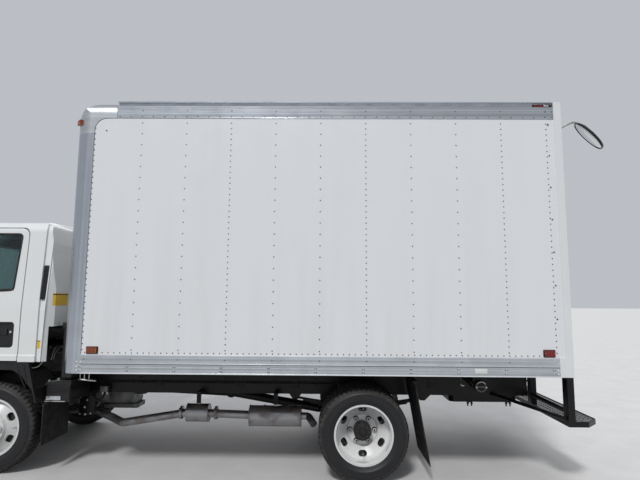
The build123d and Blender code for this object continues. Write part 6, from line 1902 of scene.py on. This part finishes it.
def hanger_plates():
    """Plates over the front springs' rear hangers with their bolts, and a bright bar hung below the box."""
    pieces = [slab("hanger_plates", "chassis", (548, 704), (-441, -427), (404, 650), 6, 2)]
    for x, z, radius in ((558, 577, 8), (628, 551, 10), (605, 481, 12), (614, 412, 13), (559, 415, 8),
                         (667, 421, 9), (690, 586, 8)):
        pieces.append(bolt((x, -440, z), (x, -451, z), radius, round_by=1.5))
    pieces.append(bar("bar", "zinc", (703, -800, 812), (868, -800, 800), 9, 14))
    for x in (716, 756, 800):
        pieces.append(bar("rod", "zinc", (x, -800, 811), (x, -800, 912), 5, 12))
        pieces.append(bolt((x, -800, 868), (x, -800, 880), 10))
    pieces.append(slab("angle", "chassis", (700, 870), (-815, -785), (906, 914), 2))
    return joined("hanger_plates", *pieces)


def engine_fittings():
    """Valve cover with its bolts and cap, inlet and exhaust runners, injector lines, fan and pulleys."""
    pieces = [slab("engine_fittings", "alloy", (-250, 330), (-120, 90), (1086, 1126), 12, 3)]
    bolts = row(bolt((-230, -108, 1120), (-230, -108, 1132), 8), 6, (108, 0, 0))
    pieces.append(copied(bolts, [(0, 186, 0)]))
    cap = [(0, 34), (12, 34), (18, 28), (18, 0)]
    pieces.append(spun("cap", "plastic", cap, (-160, -10, 1125), "Z", 24))
    pieces.append(row(slab("fin", "alloy", (-60, -52), (-100, 70), (1124, 1130), 2), 9, (40, 0, 0)))
    runner = tube("inlet", "alloy", [(-190, 88, 1060), (-190, 130, 1108), (-190, 210, 1110),
                                     (-190, 260, 1060)], 19)
    pieces.append(row(runner, 4, (150, 0, 0)))
    pieces.append(bar("plenum", "alloy", (-260, 262, 1075), (330, 262, 1075), 38, 28, 10))
    runner = tube("outlet", "exhaust", [(-190, -118, 1060), (-190, -170, 1100), (-190, -260, 1096),
                                        (-190, -330, 1060)], 17)
    pieces.append(row(runner, 4, (150, 0, 0)))
    pieces.append(bar("log", "iron", (-250, -330, 1070), (320, -330, 1070), 30, 24, 8))
    line = tube("line", "zinc", [(-150, -100, 1126), (-150, -60, 1140), (-150, 30, 1142),
                                 (-150, 92, 1126)], 4)
    pieces.append(row(line, 4, (130, 0, 0)))
    for y, z, radius in ((-30, 640, 80), (-190, 840, 55), (170, 900, 60)):
        groove = [(0, 0), (0, radius), (-8, radius), (-14, radius - 10), (-20, radius), (-28, radius),
                  (-28, 20), (-20, 0)]
        pieces.append(spun("pulley", "iron", groove, (-330, y, z), "X", 32))
    hub = spun("hub", "plastic", [(0, 0), (0, 60), (-30, 60), (-38, 40), (-38, 0)], (-360, 0, 760), "X", 32)
    blade = plate("blade", "plastic", [(-362, -22, 815), (-388, 34, 815), (-392, 60, 1010),
                                       (-362, -30, 1010)], (-3, 0, 0), 1)
    blades = ringed(blade, 7, (-360, 0, 760), "X")
    pieces += [hub, blades, bar("shaft", "iron", (-362, 0, 760), (-328, 0, 760), 24, 20)]
    for x, z in ((202, 1066), (199, 1082), (244, 1045), (330, 1072)):
        pieces.append(bolt((x, -417, z), (x, -432, z), round_by=1.5))
    for path in (((225, 940), (236, 1010), (262, 1072), (276, 1086)),
                 ((250, 950), (262, 1020), (296, 1062), (322, 1084)),
                 ((285, 1022), (320, 1012), (366, 1007))):
        pieces.append(tube("pipe", "zinc", [(x, -430, z) for x, z in path], 6))
    return joined("engine_fittings", *pieces)


def fender_ribs():
    """Raised ribs on the black panel behind each front wheel, and the pale hose that hangs by it."""
    pieces = []
    for path, radius in ((((242, 962), (262, 905), (300, 830), (330, 775)), 5),
                         (((300, 970), (330, 880), (338, 800)), 5),
                         (((60, 985), (150, 985), (242, 980)), 4)):
        pieces.append(tube("rib", "gloss_plastic", [(x, -1016, z) for x, z in path], radius))
    hose = [(440, -935, 1052), (436, -940, 1000), (412, -950, 958), (382, -955, 938), (325, -965, 938),
            (300, -975, 950)]
    pieces.append(tube("hose", "clear_plastic", hose, 5))
    return joined("fender_ribs", *pieces)


ride(both(hanger_plates()), "chassis")
ride(engine_fittings(), "chassis")
ride(both(fender_ribs()), "cab")


# Camera as fitted to the photograph: its place, its lens, its turns right, up and about its line of sight

CAMERA_PLACE = (0.8566, -5.468, 1.5946)
CAMERA_LENS = 27.28
CAMERA_TURNS = (-0.643, 6.74, 0.387)
FAR_CLIP = 200.0


def photograph_camera():
    """Puts the scene's camera where the photograph was taken."""
    data = bpy.data.cameras.new("photograph_camera")
    data.lens, data.sensor_width, data.clip_end = CAMERA_LENS, 36.0, FAR_CLIP
    camera = bpy.data.objects.new("photograph_camera", data)
    bpy.context.scene.collection.objects.link(camera)
    yaw, pitch, roll = (math.radians(a) for a in CAMERA_TURNS)
    ahead = Vector((math.sin(yaw) * math.cos(pitch), math.cos(yaw) * math.cos(pitch), math.sin(pitch)))
    right = Vector((math.cos(yaw), -math.sin(yaw), 0))
    up = right.cross(ahead)
    turned_right = right * math.cos(roll) + up * math.sin(roll)
    turned_up = up * math.cos(roll) - right * math.sin(roll)
    turn = Matrix((turned_right, turned_up, -ahead)).transposed()
    camera.matrix_world = Matrix.Translation(CAMERA_PLACE) @ turn.to_4x4()
    bpy.context.scene.camera = camera


# Floor, backdrop and lights

# Name, turn in degrees, strength, angle in degrees
SUNS = (("key_light", (44, 0, -16), 1.9, 9), ("back_light", (50, 0, 160), 0.6, 40))
SKY = (0.86, 0.9, 0.96, 1)
SKY_STRENGTH = 0.58


def studio():
    """A plain floor, an even sky and two suns. The floor throws up less light than its colour would."""
    world = bpy.data.worlds.new("studio")
    world.use_nodes = True
    background = world.node_tree.nodes["Background"]
    background.inputs["Color"].default_value = SKY
    background.inputs["Strength"].default_value = SKY_STRENGTH
    bpy.context.scene.world = world
    mat, tree, shader = new_material("studio_floor", (0.62, 0.61, 0.6), 0.7)
    pale = blend(tree, span(tree, noise(tree, 3, 6), 0.3, 0.7), (0.60, 0.59, 0.58), (0.66, 0.65, 0.64))
    rays = node(tree, "ShaderNodeLightPath").outputs
    seen = times(tree, rays["Is Camera Ray"], rays["Is Glossy Ray"], "MAXIMUM")
    seen = times(tree, seen, rays["Is Transmission Ray"], "MAXIMUM")
    patterned(shader, base_color=blend(tree, seen, (0.16, 0.16, 0.165), pale))
    bpy.ops.mesh.primitive_plane_add(size=160, location=(0, 0, 0))
    floor = bpy.context.active_object
    floor.name = "studio_floor"
    floor.data.materials.append(mat)
    for name, turn, strength, angle in SUNS:
        data = bpy.data.lights.new(name, "SUN")
        data.energy, data.angle = strength, math.radians(angle)
        lamp = bpy.data.objects.new(name, data)
        lamp.rotation_euler = [math.radians(a) for a in turn]
        bpy.context.scene.collection.objects.link(lamp)
    bpy.context.scene.view_settings.view_transform = "Standard"


photograph_camera()
studio()
